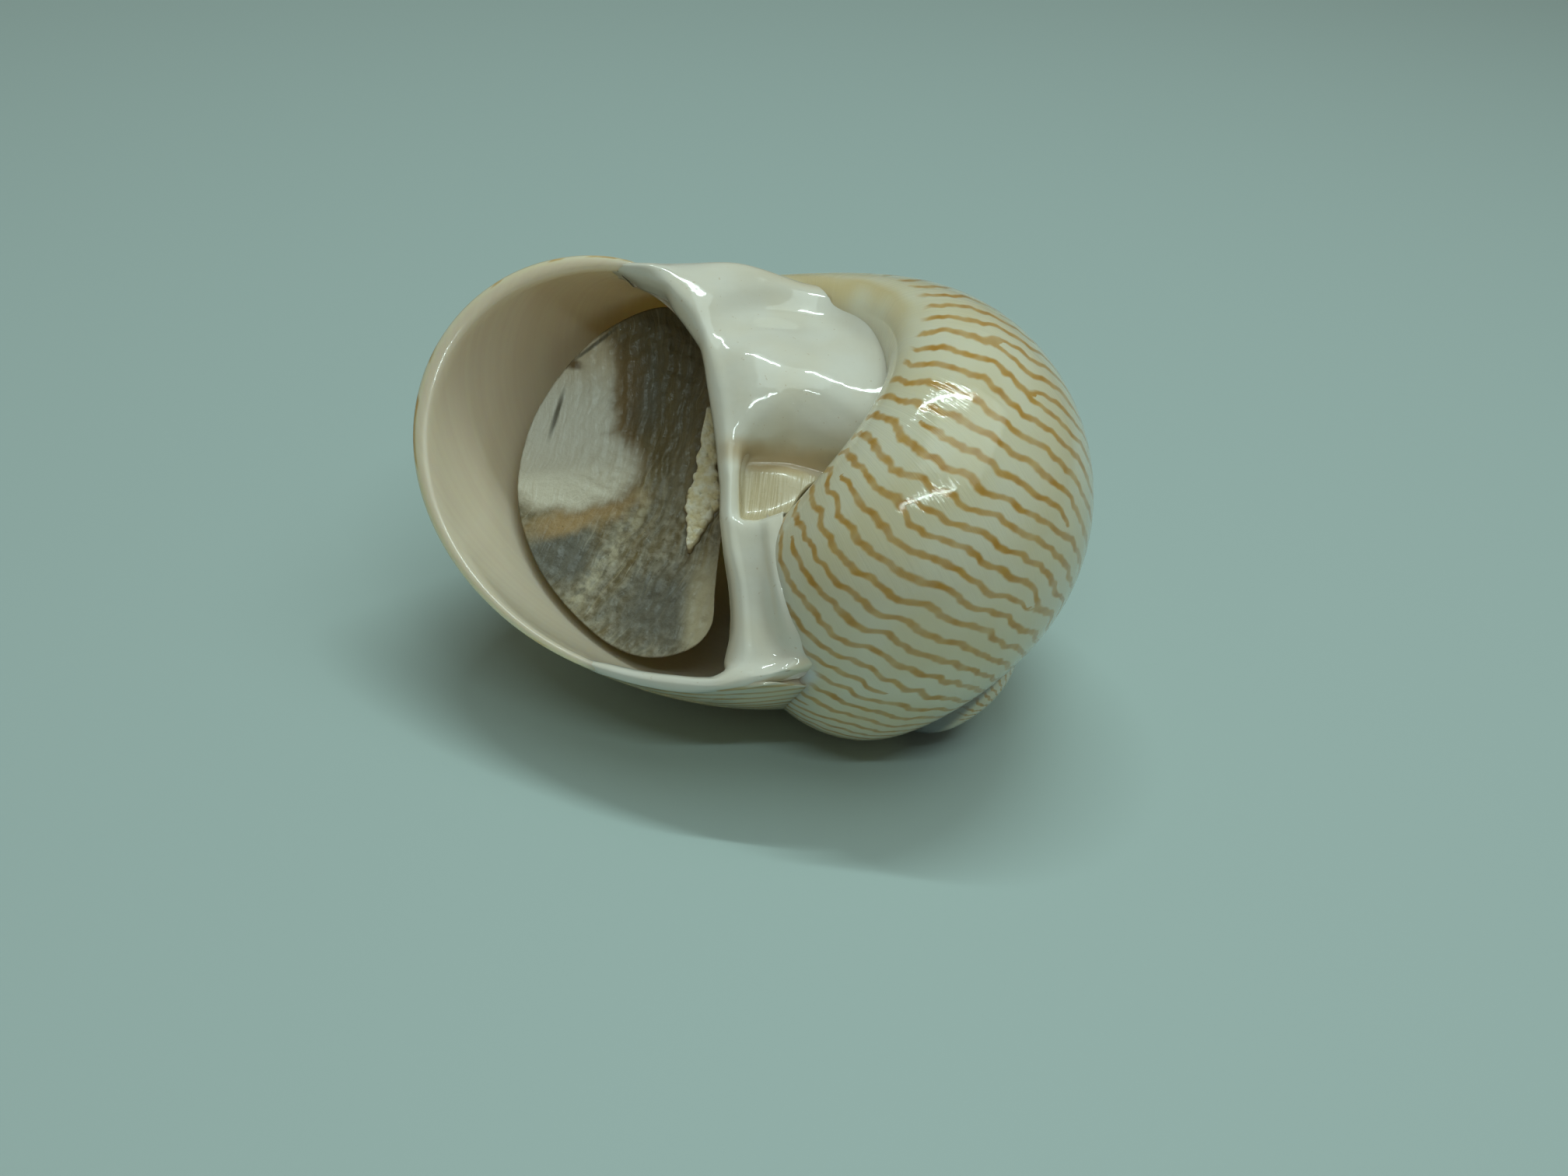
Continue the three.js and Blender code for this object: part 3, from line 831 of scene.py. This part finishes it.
# looks of the shell: colours are linear; pairs say where something begins and where it is full
shellLooks = {
    "cream": (0.78, 0.67, 0.44), "paleCream": (0.82, 0.74, 0.54), "tan": (0.62, 0.37, 0.10),
    "darkTan": (0.47, 0.235, 0.04), "umbilicalTan": (0.66, 0.47, 0.20), "glaze": (0.80, 0.79, 0.72),
    # inside the mouth the colour grows lighter with depth: painted light
    "inside": (0.70, 0.57, 0.44), "paintedLightDeepInside": (0.76, 0.65, 0.48),
    "ring": (0.105, 0.125, 0.135), "palestRing": (0.50, 0.52, 0.47), "nucleus": (0.055, 0.035, 0.018),
    "lineWidth": 0.33, "lineSoftness": 0.15, "lineStrength": 0.86, "darkEdge": (0.16, 0.0),
    "suture": (1.6, 0.1), "stainFrom": (-3.9, -3.1), "stainTo": (-1.9, -2.5), "stainRow": -1.66,
    "paleTip": (-11.0, -12.6), "paintedLightDepth": (0.15, 1.5), "roughness": (0.05, 0.11), "insideDuller": 0.12,
}


# each drift has its grain along the turn and along the oval, and its size
def paintShell(n, shader):
    look = shellLooks
    turnAt, ovalAt, cover = n.parts(n.attribute("growth"))
    lined, ring, nucleus = n.parts(n.attribute("zones"))
    inside, deep, glaze = n.parts(n.attribute("inside"))

    # a stripe lies where the count, wandering a little, is near a whole number
    wave = n.plus(n.drift(turnAt, ovalAt, 1.6, 3.6, 0.8, 0.0), n.drift(turnAt, ovalAt, 3.5, 9.0, 0.42, 0.0))
    wave = n.plus(wave, n.drift(turnAt, ovalAt, 7.0, 20.0, 0.14, 0.0))
    counted = n.plus(n.attribute("stripes", "Fac"), wave)
    away = n.math("ABSOLUTE", n.minus(n.math("FRACT", counted), 0.5))
    fromLine = n.minus(0.5, away)
    half = n.plus(look["lineWidth"] / 2, n.drift(turnAt, ovalAt, 6.0, 9.0, 0.10))
    line = n.rise(n.math("DIVIDE", n.minus(half, fromLine), look["lineSoftness"]), -0.5, 0.5)
    strength = n.plus(look["lineStrength"], n.drift(turnAt, ovalAt, 5.0, 7.0, 0.9), clamp=True)
    reach = n.rise(n.plus(lined, n.drift(turnAt, ovalAt, 9.0, 6.0, 1.0)), 0.30, 0.85)
    line = n.times(line, strength, reach)
    tone = n.plus(n.drift(turnAt, ovalAt, 8.0, 12.0, 1.5), 0.40)
    tone = n.plus(tone, n.times(n.rise(fromLine, *look["darkEdge"]), 0.25), clamp=True)

    # creams under the stripes, a stain by the umbilicus, the pale tip and the ring round the spire
    clouds = n.rise(n.drift(turnAt, ovalAt, 2.5, 2.0, 1.0), -0.25, 0.25)
    colour = n.mix(clouds, look["cream"], look["paleCream"])
    colour = n.over(colour, look["palestRing"], n.rise(cover, *look["suture"]), 0.25)
    colour = n.mix(line, colour, n.mix(tone, look["tan"], look["darkTan"]))
    stain = n.times(n.rise(turnAt, *look["stainFrom"]), n.rise(turnAt, *look["stainTo"]))
    fromRow = n.minus(n.plus(ovalAt, n.drift(turnAt, ovalAt, 2.0, 2.0, 0.2)), look["stainRow"])
    stain = n.times(stain, n.rise(n.math("ABSOLUTE", fromRow), 0.11, 0.0))
    colour = n.over(colour, look["umbilicalTan"], stain, 0.6)
    colour = n.over(colour, look["glaze"], glaze)
    colour = n.over(colour, look["palestRing"], n.rise(turnAt, *look["paleTip"]), 0.75)
    colour = n.over(colour, look["ring"], ring)
    colour = n.over(colour, look["nucleus"], nucleus)

    # the hollow, made lighter further in by painted light, with a fine grain
    inner = n.mix(n.rise(deep, *look["paintedLightDepth"]), look["inside"], look["paintedLightDeepInside"])
    inner = n.over(inner, look["paleCream"], n.rise(n.drift(turnAt, ovalAt, 40.0, 0.5, 1.0), -0.4, 0.4), 0.3)
    n.plug(n.mix(inside, colour, inner), shader.inputs["Base Color"])

    mottle = n.rise(n.drift(turnAt, ovalAt, 20.0, 20.0, 1.0), -0.3, 0.3)
    smoothness, dullness = look["roughness"]
    roughness = n.plus(smoothness, n.times(mottle, dullness - smoothness))
    n.plug(n.plus(roughness, n.times(inside, look["insideDuller"])), shader.inputs["Roughness"])
    grooves = n.times(fineGrowthHeight(n, turnAt, ovalAt), n.minus(1.0, n.times(inside, 0.7)))
    n.plug(n.bump(n.plus(grooves, n.times(line, -0.4)), 0.25, 0.00006), shader.inputs["Normal"])
    shader.inputs["Coat Weight"].default_value = 0.35
    shader.inputs["Coat Roughness"].default_value = 0.04
    shader.inputs["Subsurface Weight"].default_value = 0.45
    shader.inputs["Subsurface Radius"].default_value = (1.0, 0.75, 0.45)
    shader.inputs["Subsurface Scale"].default_value = 0.003


paintShell(nodes, shader)

lipRings = innerLipPoints(lipFront)
lipPoints, lipFaces = closedTube(np.array(innerLip["origin"]) + lipRings @ mouth)
lipPaint, nodes, shader = newMaterial("lipPorcelain")
innerLipPiece = makeMesh("innerLip", toTable(lipPoints), lipFaces, lipPaint)
lipAt = np.vstack([lipRings.reshape(-1, 3), lipRings[0].mean(0), lipRings[-1].mean(0)])
storePoints(innerLipPiece, "mouth", lipAt)
merged = np.pad(merging, ((0, 0), (0, innerLip["backColumns"])))
storePoints(innerLipPiece, "merge", np.concatenate([merged.ravel(), (0, 0)]))
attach(innerLipPiece, "root")
print("inner lip", len(innerLipPiece.data.polygons))

# looks of the glaze; the darker tan is painted shade in the furrow and also the colour of the glaze's specks,
# and the grey is painted shade along the mouth's edge
lipLooks = {
    "white": (0.80, 0.78, 0.68), "warm": (0.74, 0.67, 0.50), "tan": (0.64, 0.54, 0.35),
    "shelf": (0.54, 0.46, 0.29), "skin": (0.78, 0.72, 0.54), "paintedShadeAndSpeckTan": (0.52, 0.38, 0.20),
    "grey": (0.42, 0.38, 0.29), "edgeTan": (0.62, 0.45, 0.20), "roughness": (0.05, 0.11),
}

# where its colours lie, in millimetres right, up and out, facing the mouth: from where a colour begins
# to where it is full; the furrow's painted shade has its middle, half widths and softness
lipPlaces = {
    "slopeOut": (-0.6, -2.4), "slopeUp": (5.6, 3.6), "furrow": ((2.1, 3.25), (2.3, 0.65), 0.5),
    "shelfUp": (-0.05, 0.15), "shelfTop": (3.0, 2.5), "shelfOut": (-0.35, -0.75), "shelfRight": (0.35, 0.65),
    "stripOut": (0.02, -0.5), "stripTop": (-0.8, -2.2), "stripEnd": (-7.0, -6.2), "stripRight": (-0.6, 0.2),
    "tanRight": (-1.5, 3.0), "tanUp": (12.4, 13.6), "lipTanUp": (-5.8, -6.6), "lipTanRight": (3.0, 1.6),
    "thinMerge": (0.35, 0.95), "thinOut": (-1.6, -1.0),
}


# 1 inside an ellipse and 0 outside, with a soft edge: the root of the squares of the distances to its
# middle, each divided by its half width
def spotMask(n, x, y, middle, half, softness=0.35):
    across = n.math("DIVIDE", n.minus(x, middle[0]), half[0])
    along = n.math("DIVIDE", n.minus(y, middle[1]), half[1])
    away = n.math("SQRT", n.plus(n.times(across, across), n.times(along, along)))
    return n.rise(away, 1 + softness, 1 - softness)


def paintLip(n, shader):
    look, at = lipLooks, lipPlaces
    right, up, out = n.parts(n.attribute("mouth"))
    wobble = n.drift(right, up, 1.3, 1.3, 0.5)
    colour = n.mix(n.rise(n.drift(right, up, 0.5, 0.5, 1.0), -0.2, 0.3), look["white"], look["warm"])
    colour = n.mix(0.55, colour, look["white"])

    # the funicle's lower slope, tan partly of its own and partly painted shade deeper in the umbilicus; the
    # furrow below it, darkened with painted shade; and the striated shelf
    slopeTanAndShade = n.times(n.rise(out, *at["slopeOut"]), n.rise(up, *at["slopeUp"]))
    colour = n.over(colour, look["tan"], slopeTanAndShade, 0.9)
    # painted shade darkens the furrow below the funicle
    colour = n.over(colour, look["paintedShadeAndSpeckTan"], spotMask(n, right, n.plus(up, wobble), *at["furrow"]), 0.75)
    shelf = n.times(
        n.rise(up, *at["shelfUp"]), n.rise(up, *at["shelfTop"]), n.rise(out, *at["shelfOut"]),
        n.rise(right, *at["shelfRight"]))
    striae = n.rise(n.drift(right, up, 9.0, 0.5, 1.0), -0.3, 0.3)
    colour = n.mix(shelf, colour, n.over(look["shelf"], look["tan"], striae, 0.35))

    # painted shade as a grey strip where the glaze drops into the mouth beside the plate, the tan far edge, and
    # the skin's colour where the glaze thins
    edgeShade = n.times(
        n.rise(out, *at["stripOut"]), n.rise(up, *at["stripTop"]), n.rise(up, *at["stripEnd"]),
        n.rise(right, *at["stripRight"]))
    colour = n.over(colour, look["grey"], edgeShade, 0.8)
    tanEdge = n.times(n.rise(right, *at["tanRight"]), n.rise(up, *at["tanUp"]))
    colour = n.over(colour, look["edgeTan"], tanEdge, 0.6)
    lipTan = n.times(n.rise(up, *at["lipTanUp"]), n.rise(right, *at["lipTanRight"]))
    skin = n.over(look["skin"], look["edgeTan"], lipTan)
    thin = n.times(n.rise(n.attribute("merge", "Fac"), *at["thinMerge"]), n.rise(out, *at["thinOut"]))
    colour = n.over(colour, skin, thin)
    specks = n.rise(n.noise(n.point(right, up, out), 5.0, 1.0), 0.73, 0.77)
    colour = n.over(colour, look["paintedShadeAndSpeckTan"], specks, 0.4)
    n.plug(colour, shader.inputs["Base Color"])

    smoothness, dullness = look["roughness"]
    mottle = n.rise(n.drift(right, up, 2.0, 2.0, 1.0), -0.3, 0.3)
    roughness = n.plus(smoothness, n.times(mottle, dullness - smoothness))
    n.plug(n.plus(roughness, n.times(shelf, 0.2)), shader.inputs["Roughness"])
    height = n.plus(n.drift(right, up, 1.6, 1.6, 0.6), n.times(striae, shelf, 0.8))
    n.plug(n.bump(height, 0.3, 0.0001), shader.inputs["Normal"])
    shader.inputs["Coat Weight"].default_value = 0.4
    shader.inputs["Coat Roughness"].default_value = 0.04
    shader.inputs["Subsurface Weight"].default_value = 0.2
    shader.inputs["Subsurface Radius"].default_value = (1.0, 0.9, 0.8)
    shader.inputs["Subsurface Scale"].default_value = 0.001


paintLip(nodes, shader)

# thin horn plate that closes the mouth, lying parallel to the lip's plane; lengths in millimetres
operculum = {
    "centre": (-0.3, 0.2, -0.1), "depth": 4.7, "edge": 0.45, "middle": 1.0, "dish": 0.35,
    "rows": 84, "backRows": 14, "columns": 300, "ridgeCentre": (-24.0, 9.05), "ridgeRadius": 20,
    "ridgeHeight": 0.035, "roughness": 0.025, "smoothGrain": 0.012, "levelEdge": 0.06,
    "ridgeWaves": ((0.95, 1, 0), (0.47, 0.7, 1), (1.9, 0.4, 0)),
    "outline": (
        (5.2, 8.6), (2.4, 9.2), (-0.5, 8.5), (-3.5, 6.6), (-5.6, 3.5), (-6.1, 0.0), (-5.5, -3.2),
        (-4.2, -6.0), (-2.7, -7.3), (-0.8, -7.7), (0.3, -7.2), (1.2, -5.7), (2.3, -3.9),
        (3.6, -2.0), (5.1, 0.0), (6.1, 2.1), (6.5, 4.3), (6.4, 6.5)),
}


# uneven field about zero: the sum of waves of random direction, length and start
def unevenness(x, y, count, shortest, longest, seed):
    dice = np.random.default_rng(seed)
    total = np.zeros(np.shape(x))
    for _ in range(count):
        towards, start = dice.uniform(0, turn, 2)
        length = dice.uniform(shortest, longest)
        total = total + np.sin((x * np.cos(towards) + y * np.sin(towards)) * turn / length + start)
    return total / np.sqrt(count)


# growth ridges run round a far centre: sines of the distance from it, each with its length, height and
# start, bent and faded by an uneven field; the smooth patch on the left has only a fine grain
def plateRelief(right, up):
    p = operculum
    across, above = right - p["ridgeCentre"][0], up - p["ridgeCentre"][1]
    along = np.arctan2(above, across) * p["ridgeRadius"]
    bent = np.hypot(across, above) + 0.25 * unevenness(right, up, 8, 3, 9, 3)
    ridges = sum(height * np.sin(bent * turn / length + start) for length, height, start in p["ridgeWaves"])
    ridges = ridges * (0.7 + 0.4 * unevenness(bent * 2, along, 8, 2, 6, 4))
    rough = np.maximum(smooth(right + 0.35 * (up - 2), -9.0, -6.0), smooth(-up, -1.2, 0.6))
    grain = unevenness(right, up, 30, 0.35, 1.3, 5)
    return rough * (p["ridgeHeight"] * ridges + p["roughness"] * grain) + p["smoothGrain"] * grain


# rings from the middle of the front to its edge, and back to the middle behind
def plateRings():
    p = operculum
    sideways = np.cross(lipNormal, (0, 0, 1))
    sideways = sideways / np.linalg.norm(sideways)
    upward = np.cross(lipNormal, sideways)
    centre = place(*(np.array(value) for value in p["centre"]))
    centre = centre - lipNormal * (p["depth"] + centre @ lipNormal - lipHeight)
    outline = np.array(p["outline"] * 3)
    onceRound = (1 + np.arange(p["columns"]) / p["columns"]) * len(p["outline"])
    edge = spline(outline, onceRound / (len(outline) - 1))
    out = np.concatenate([np.linspace(0.01, 1, p["rows"]), np.linspace(0.985, 0.02, p["backRows"])])
    out = out[:, None, None]
    front = (np.arange(len(out)) < p["rows"])[:, None, None]
    inset = np.where(front, out, out * mix(1, 0.96, smooth(out, 0.5, 1)))
    dish = p["dish"] * (1 - out ** 2)
    under = mix(p["middle"], p["edge"], out ** 4)
    flat = centre + inset * (edge[None, :, :1] * sideways + edge[None, :, 1:] * upward)
    seen = (flat - innerLip["origin"]) @ mouth.T
    relief = plateRelief(seen[..., 0], seen[..., 1])[..., None] * smooth(1 - out, 0, p["levelEdge"])
    return flat + lipNormal * np.where(front, relief - dish, -dish - under), seen


plate, plateSeen = plateRings()
platePoints, plateFaces = closedTube(plate)
platePaint, nodes, shader = newMaterial("operculumHorn")
platePiece = makeMesh("operculumPlate", toTable(platePoints), plateFaces, platePaint)
plateAt = np.concatenate([plateSeen.reshape(-1, 3), plateSeen[:1].mean(1), plateSeen[-1:].mean(1)])
storePoints(platePiece, "mouth", plateAt)
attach(platePiece, "root")
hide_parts("operculum")
print("operculum plate", len(platePiece.data.polygons))

# looks of the plate
plateLooks = {
    "brown": (0.19, 0.145, 0.062), "dark": (0.07, 0.058, 0.026), "grey": (0.25, 0.235, 0.17),
    "blueGrey": (0.12, 0.122, 0.10), "cream": (0.66, 0.62, 0.49), "white": (0.67, 0.65, 0.55),
    "bark": (0.22, 0.15, 0.065), "rust": (0.17, 0.11, 0.045), "tan": (0.42, 0.28, 0.12),
    "paleMargin": (0.55, 0.50, 0.34), "peach": (0.58, 0.46, 0.28), "roughness": (0.32, 0.55),
}

# clouded spots, among them painted shade over the plate's top and a painted glint within it, laid over one
# another in this order: colour, strength, middle, half widths and softness;
# places are millimetres right and up, facing the mouth
plateSpots = {
    # the first spot is painted shade over the plate's top, the second a painted glint on it
    "paintedShadeTop": ("dark", 0.45, (-5.1, 9.0), (2.3, 3.9), 0.35),
    "paintedGlint": ("blueGrey", 0.6, (-5.6, 8.0), (0.7, 1.6), 0.8),
    "topEdge": ("rust", 0.55, (-6.7, 7.6), (0.8, 3.3), 0.7),
    "lowLeft": ("blueGrey", 0.85, (-9.4, -0.3), (1.8, 1.5), 0.5),
    "lowMiddle": ("blueGrey", 0.75, (-4.2, -3.0), (2.2, 1.9), 0.6),
}

# other marks: middle, half widths and softness; the band and the cracks lean by the share given
plateMarks = {
    "band": ((-8.4, 4.3), (2.6, 0.75), 0.6), "bandLean": -0.30,
    "edgings": (((-9.4, 7.7), (2.75, 4.4), 0.16), ((-9.0, 4.2), (3.5, 2.3), 0.16)),
    "patches": (((-9.75, 7.7), (2.5, 4.3), 0.2), ((-9.4, 4.2), (3.5, 2.1), 0.2)),
    "margin": ((-1.9, -3.2), (0.9, 2.6), 0.6), "rustSpot": ((-9.5, 9.55), (0.4, 0.25), 0.6),
    "crack": ((-11.75, 7.0), (0.13, 1.1), 0.6), "crackLean": -0.22,
    "topCrack": ((-21.75, 10.6), (0.16, 0.85), 0.6), "topCrackLean": -1.25,
    "paleRidge": (19.5, 0.75, 0.1), "lowPart": (5.5, -0.5),
}


def paintPlate(n, shader):
    look, marks = plateLooks, plateMarks
    right, up, _ = n.parts(n.attribute("mouth"))
    low = n.rise(up, *marks["lowPart"])

    # growth streaks run round the same far centre as the ridges
    farRight = n.minus(right, operculum["ridgeCentre"][0])
    farUp = n.minus(up, operculum["ridgeCentre"][1])
    far = n.math("SQRT", n.plus(n.times(farRight, farRight), n.times(farUp, farUp)))
    far = n.plus(far, n.drift(right, up, 0.5, 0.5, 1.2))
    along = n.times(n.math("DIVIDE", farUp, farRight), float(operculum["ridgeRadius"]))
    streaks = n.rise(n.drift(far, along, 1.5, 0.13, 1.0, 3.0), -0.14, 0.16)
    fineStreaks = n.rise(n.drift(far, along, 4.2, 0.30, 1.0, 3.0), -0.16, 0.18)
    threads = n.rise(n.drift(far, along, 6.5, 0.22, 1.0, 2.0), 0.08, 0.22)
    grain = n.rise(n.drift(right, up, 2.6, 2.6, 1.0, 4.0), -0.10, 0.2)
    colour = n.mix(n.times(streaks, n.plus(0.35, n.times(low, 0.65))), look["brown"], look["grey"])
    colour = n.over(colour, look["dark"], fineStreaks, 0.4)
    colour = n.over(colour, look["paleMargin"], threads, 0.35)
    colour = n.over(colour, look["cream"], n.times(grain, low), 0.30)

    # clouded spots with the painted shade and painted glint, and a pale ridge in the lower part
    wobbleX = n.plus(right, n.drift(right, up, 0.9, 0.9, 1.1, 3.0))
    wobbleY = n.plus(up, n.drift(up, right, 0.8, 0.8, 1.1, 3.0))
    for tint, strength, *spot in plateSpots.values():
        colour = n.over(colour, look[tint], spotMask(n, wobbleX, wobbleY, *spot), strength)
    ridgeAt, ridgeFrom, ridgeFull = marks["paleRidge"]
    ridge = n.rise(n.math("ABSOLUTE", n.minus(far, ridgeAt)), ridgeFrom, ridgeFull)
    broken = n.rise(n.drift(far, along, 2.0, 1.4, 1.0, 3.0), -0.12, 0.12)
    colour = n.over(colour, look["paleMargin"], n.times(ridge, n.rise(up, 4.5, 2.0), broken), 0.6)

    # tan band, and the smooth cream patch in its dark edging
    leaning = n.plus(wobbleY, n.times(wobbleX, marks["bandLean"]))
    colour = n.over(colour, look["tan"], spotMask(n, wobbleX, leaning, *marks["band"]), 0.8)
    edging, patch = (
        n.math("MAXIMUM", *(spotMask(n, wobbleX, wobbleY, *part) for part in marks[name]))
        for name in ("edgings", "patches"))
    colour = n.over(colour, look["bark"], edging, 0.8)
    patchColour = n.mix(n.rise(up, 3.0, 6.0), look["cream"], look["white"])
    patchColour = n.over(patchColour, look["peach"], n.rise(up, 7.6, 10.2), 0.6)
    colour = n.over(colour, patchColour, patch)

    # dark dots, the pale margin, two thin cracks and a rusty spot
    dots = n.rise(n.drift(right, up, 7.0, 7.0, 1.0, 2.0), 0.16, 0.22)
    colour = n.over(colour, look["dark"], n.times(dots, n.rise(up, 3.5, 0.5)), 0.6)
    colour = n.over(colour, look["paleMargin"], spotMask(n, right, up, *marks["margin"]), 0.9)
    crack, topCrack = (
        spotMask(n, n.plus(right, n.times(up, marks[name + "Lean"])), up, *marks[name])
        for name in ("crack", "topCrack"))
    colour = n.over(colour, look["dark"], n.math("MAXIMUM", crack, topCrack), 0.85)
    colour = n.over(colour, look["rust"], spotMask(n, wobbleX, up, *marks["rustSpot"]))
    n.plug(colour, shader.inputs["Base Color"])

    smoothness, dullness = look["roughness"]
    n.plug(n.plus(smoothness, n.times(grain, dullness - smoothness)), shader.inputs["Roughness"])
    height = n.plus(n.times(fineStreaks, 0.6), n.drift(right, up, 6.0, 6.0, 1.0, 3.0))
    n.plug(n.bump(height, 0.35, 0.00012), shader.inputs["Normal"])


paintPlate(nodes, shader)

# crumbs of dried tissue along the plate's right edge: a strip with its middle and width from top to
# bottom, raised to the highest of the half balls that lie over each place
crust = {
    "middle": (
        (-2.30, 7.4), (-2.25, 5.5), (-2.25, 3.9), (-2.25, 2.8), (-2.38, 1.8), (-2.60, 0.8), (-2.84, -0.2)),
    "width": (0.35, 0.80, 1.20, 1.85, 1.70, 0.85, 0.15),
    "rows": 230, "columns": 56, "crumbs": 420, "size": (0.09, 0.22), "down": (0.03, 0.96), "across": 0.42,
    "base": 0.16, "sunk": 0.25, "frayed": 0.14, "endSlope": 18, "dishShare": 0.35, "seed": 11,
}


def crustRings():
    c = crust
    down = np.linspace(0, 1, c["rows"])
    middle = spline(c["middle"], down)
    width = np.interp(down, np.linspace(0, 1, len(c["width"])), c["width"])
    width = width * (1 + c["frayed"] * unevenness(down * 9, 0 * down, 6, 0.3, 1.2, c["seed"]))
    across = np.linspace(-0.5, 0.5, c["columns"])
    right = middle[:, :1] + width[:, None] * across
    up = np.broadcast_to(middle[:, 1:], right.shape)
    dice = np.random.default_rng(c["seed"])
    row = (dice.uniform(*c["down"], c["crumbs"]) * (c["rows"] - 1)).astype(int)
    crumbRight = middle[row, 0] + width[row] * dice.uniform(-c["across"], c["across"], c["crumbs"])
    crumbUp = middle[row, 1]
    size = dice.uniform(*c["size"], c["crumbs"])
    apart = (right[..., None] - crumbRight) ** 2 + (up[..., None] - crumbUp) ** 2
    crumbs = np.sqrt(np.maximum(size ** 2 - apart, 0)).max(-1)
    ends = np.minimum(1, np.minimum(down, 1 - down) * c["endSlope"])
    fade = (1 - (2 * np.abs(across)) ** 6)[None, :] * ends[:, None]
    ground = -operculum["depth"] - operculum["dish"] * c["dishShare"]
    top = ground + fade * (c["base"] + crumbs)
    front = np.stack([right, up, top], -1)
    back = np.stack([right[:, ::-1][:, ::8], up[:, ::8], np.full(right[:, ::8].shape, ground - c["sunk"])], -1)
    return np.concatenate([front, back], 1)


crustSeen = crustRings()
crustPoints, crustFaces = closedTube(np.array(innerLip["origin"]) + crustSeen @ mouth)
crustPaint, nodes, shader = newMaterial("driedCrumbs")
crustPiece = makeMesh("driedCrust", toTable(crustPoints), crustFaces, crustPaint)
crustAt = np.vstack([crustSeen.reshape(-1, 3), crustSeen[0].mean(0), crustSeen[-1].mean(0)])
storePoints(crustPiece, "mouth", crustAt)
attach(crustPiece, "root")
print("dried crust", len(crustPiece.data.polygons))

crustLooks = {
    "pale": (0.98, 0.95, 0.78), "yellow": (0.84, 0.74, 0.46), "dark": (0.20, 0.15, 0.07),
    "darkBelow": (-4.58, -4.80), "roughness": 0.75,
}


def paintCrust(n, shader):
    look = crustLooks
    right, up, out = n.parts(n.attribute("mouth"))
    colour = n.mix(n.rise(n.drift(right, up, 2.2, 2.2, 1.0, 2.0), -0.15, 0.2), look["yellow"], look["pale"])
    colour = n.mix(n.rise(out, *look["darkBelow"]), colour, look["dark"])
    n.plug(colour, shader.inputs["Base Color"])
    shader.inputs["Roughness"].default_value = look["roughness"]
    n.plug(n.bump(n.drift(right, up, 12.0, 12.0, 1.0, 3.0), 0.5, 0.0001), shader.inputs["Normal"])


paintCrust(nodes, shader)

# camera at the photograph's viewing angle: place and lens in millimetres, angles in degrees
view = {"place": (2.047, -69.688, 50.246), "elevation": 33.542, "roll": 4.434, "lens": 38.464, "sensor": 36.0}
camera = bpy.data.objects.new("camera", bpy.data.cameras.new("camera"))
camera.data.lens = view["lens"]
camera.data.sensor_width = view["sensor"]
camera.data.clip_start = 0.005
tilt = Matrix.Rotation(np.radians(90 - view["elevation"]), 4, "X")
roll = Matrix.Rotation(np.radians(view["roll"]), 4, "Z")
camera.matrix_world = Matrix.Translation(Vector(view["place"]) * mm) @ tilt @ roll
bpy.context.scene.collection.objects.link(camera)
bpy.context.scene.camera = camera

# plain pale floor, and soft studio light: each lamp's name, direction, distance, size and watts
studio = {
    "floor": (0.43, 0.55, 0.53), "world": (1.0, 0.93, 0.76), "worldStrength": 0.14,
    "lamps": (
        ("frontLamp", (0.08, -0.55, 0.80), 260, (150, 6), 0.10),
        ("topLamp", (0.02, 0.26, 0.95), 260, (160, 7), 0.21),
        ("softLamp", (0.30, -0.05, 0.95), 320, (260, 260), 0.255)),
    "lampColour": (0.80, 1.0, 0.98),
}
floorMesh = bpy.data.meshes.new("floor")
floorMesh.from_pydata([(-2, -2, 0), (2, -2, 0), (2, 3, 0), (-2, 3, 0)], [], [(0, 1, 2, 3)])
floorMesh.materials.append(plainMaterial("floorPaper", studio["floor"], 0.6))
floor = bpy.data.objects.new("floor", floorMesh)
bpy.context.scene.collection.objects.link(floor)

for name, towards, distance, size, power in studio["lamps"]:
    lamp = bpy.data.lights.new(name, "AREA")
    lamp.shape = "RECTANGLE"
    lamp.size, lamp.size_y = size[0] * mm, size[1] * mm
    lamp.energy = power
    lamp.color = studio["lampColour"]
    light = bpy.data.objects.new(name, lamp)
    light.location = Vector(towards).normalized() * distance * mm
    light.rotation_euler = (-light.location).to_track_quat("-Z", "Y").to_euler()
    bpy.context.scene.collection.objects.link(light)

world = bpy.data.worlds.new("studio")
world.use_nodes = True
world.node_tree.nodes["Background"].inputs["Color"].default_value = (*studio["world"], 1)
world.node_tree.nodes["Background"].inputs["Strength"].default_value = studio["worldStrength"]
bpy.context.scene.world = world
bpy.context.scene.view_settings.view_transform = "Standard"
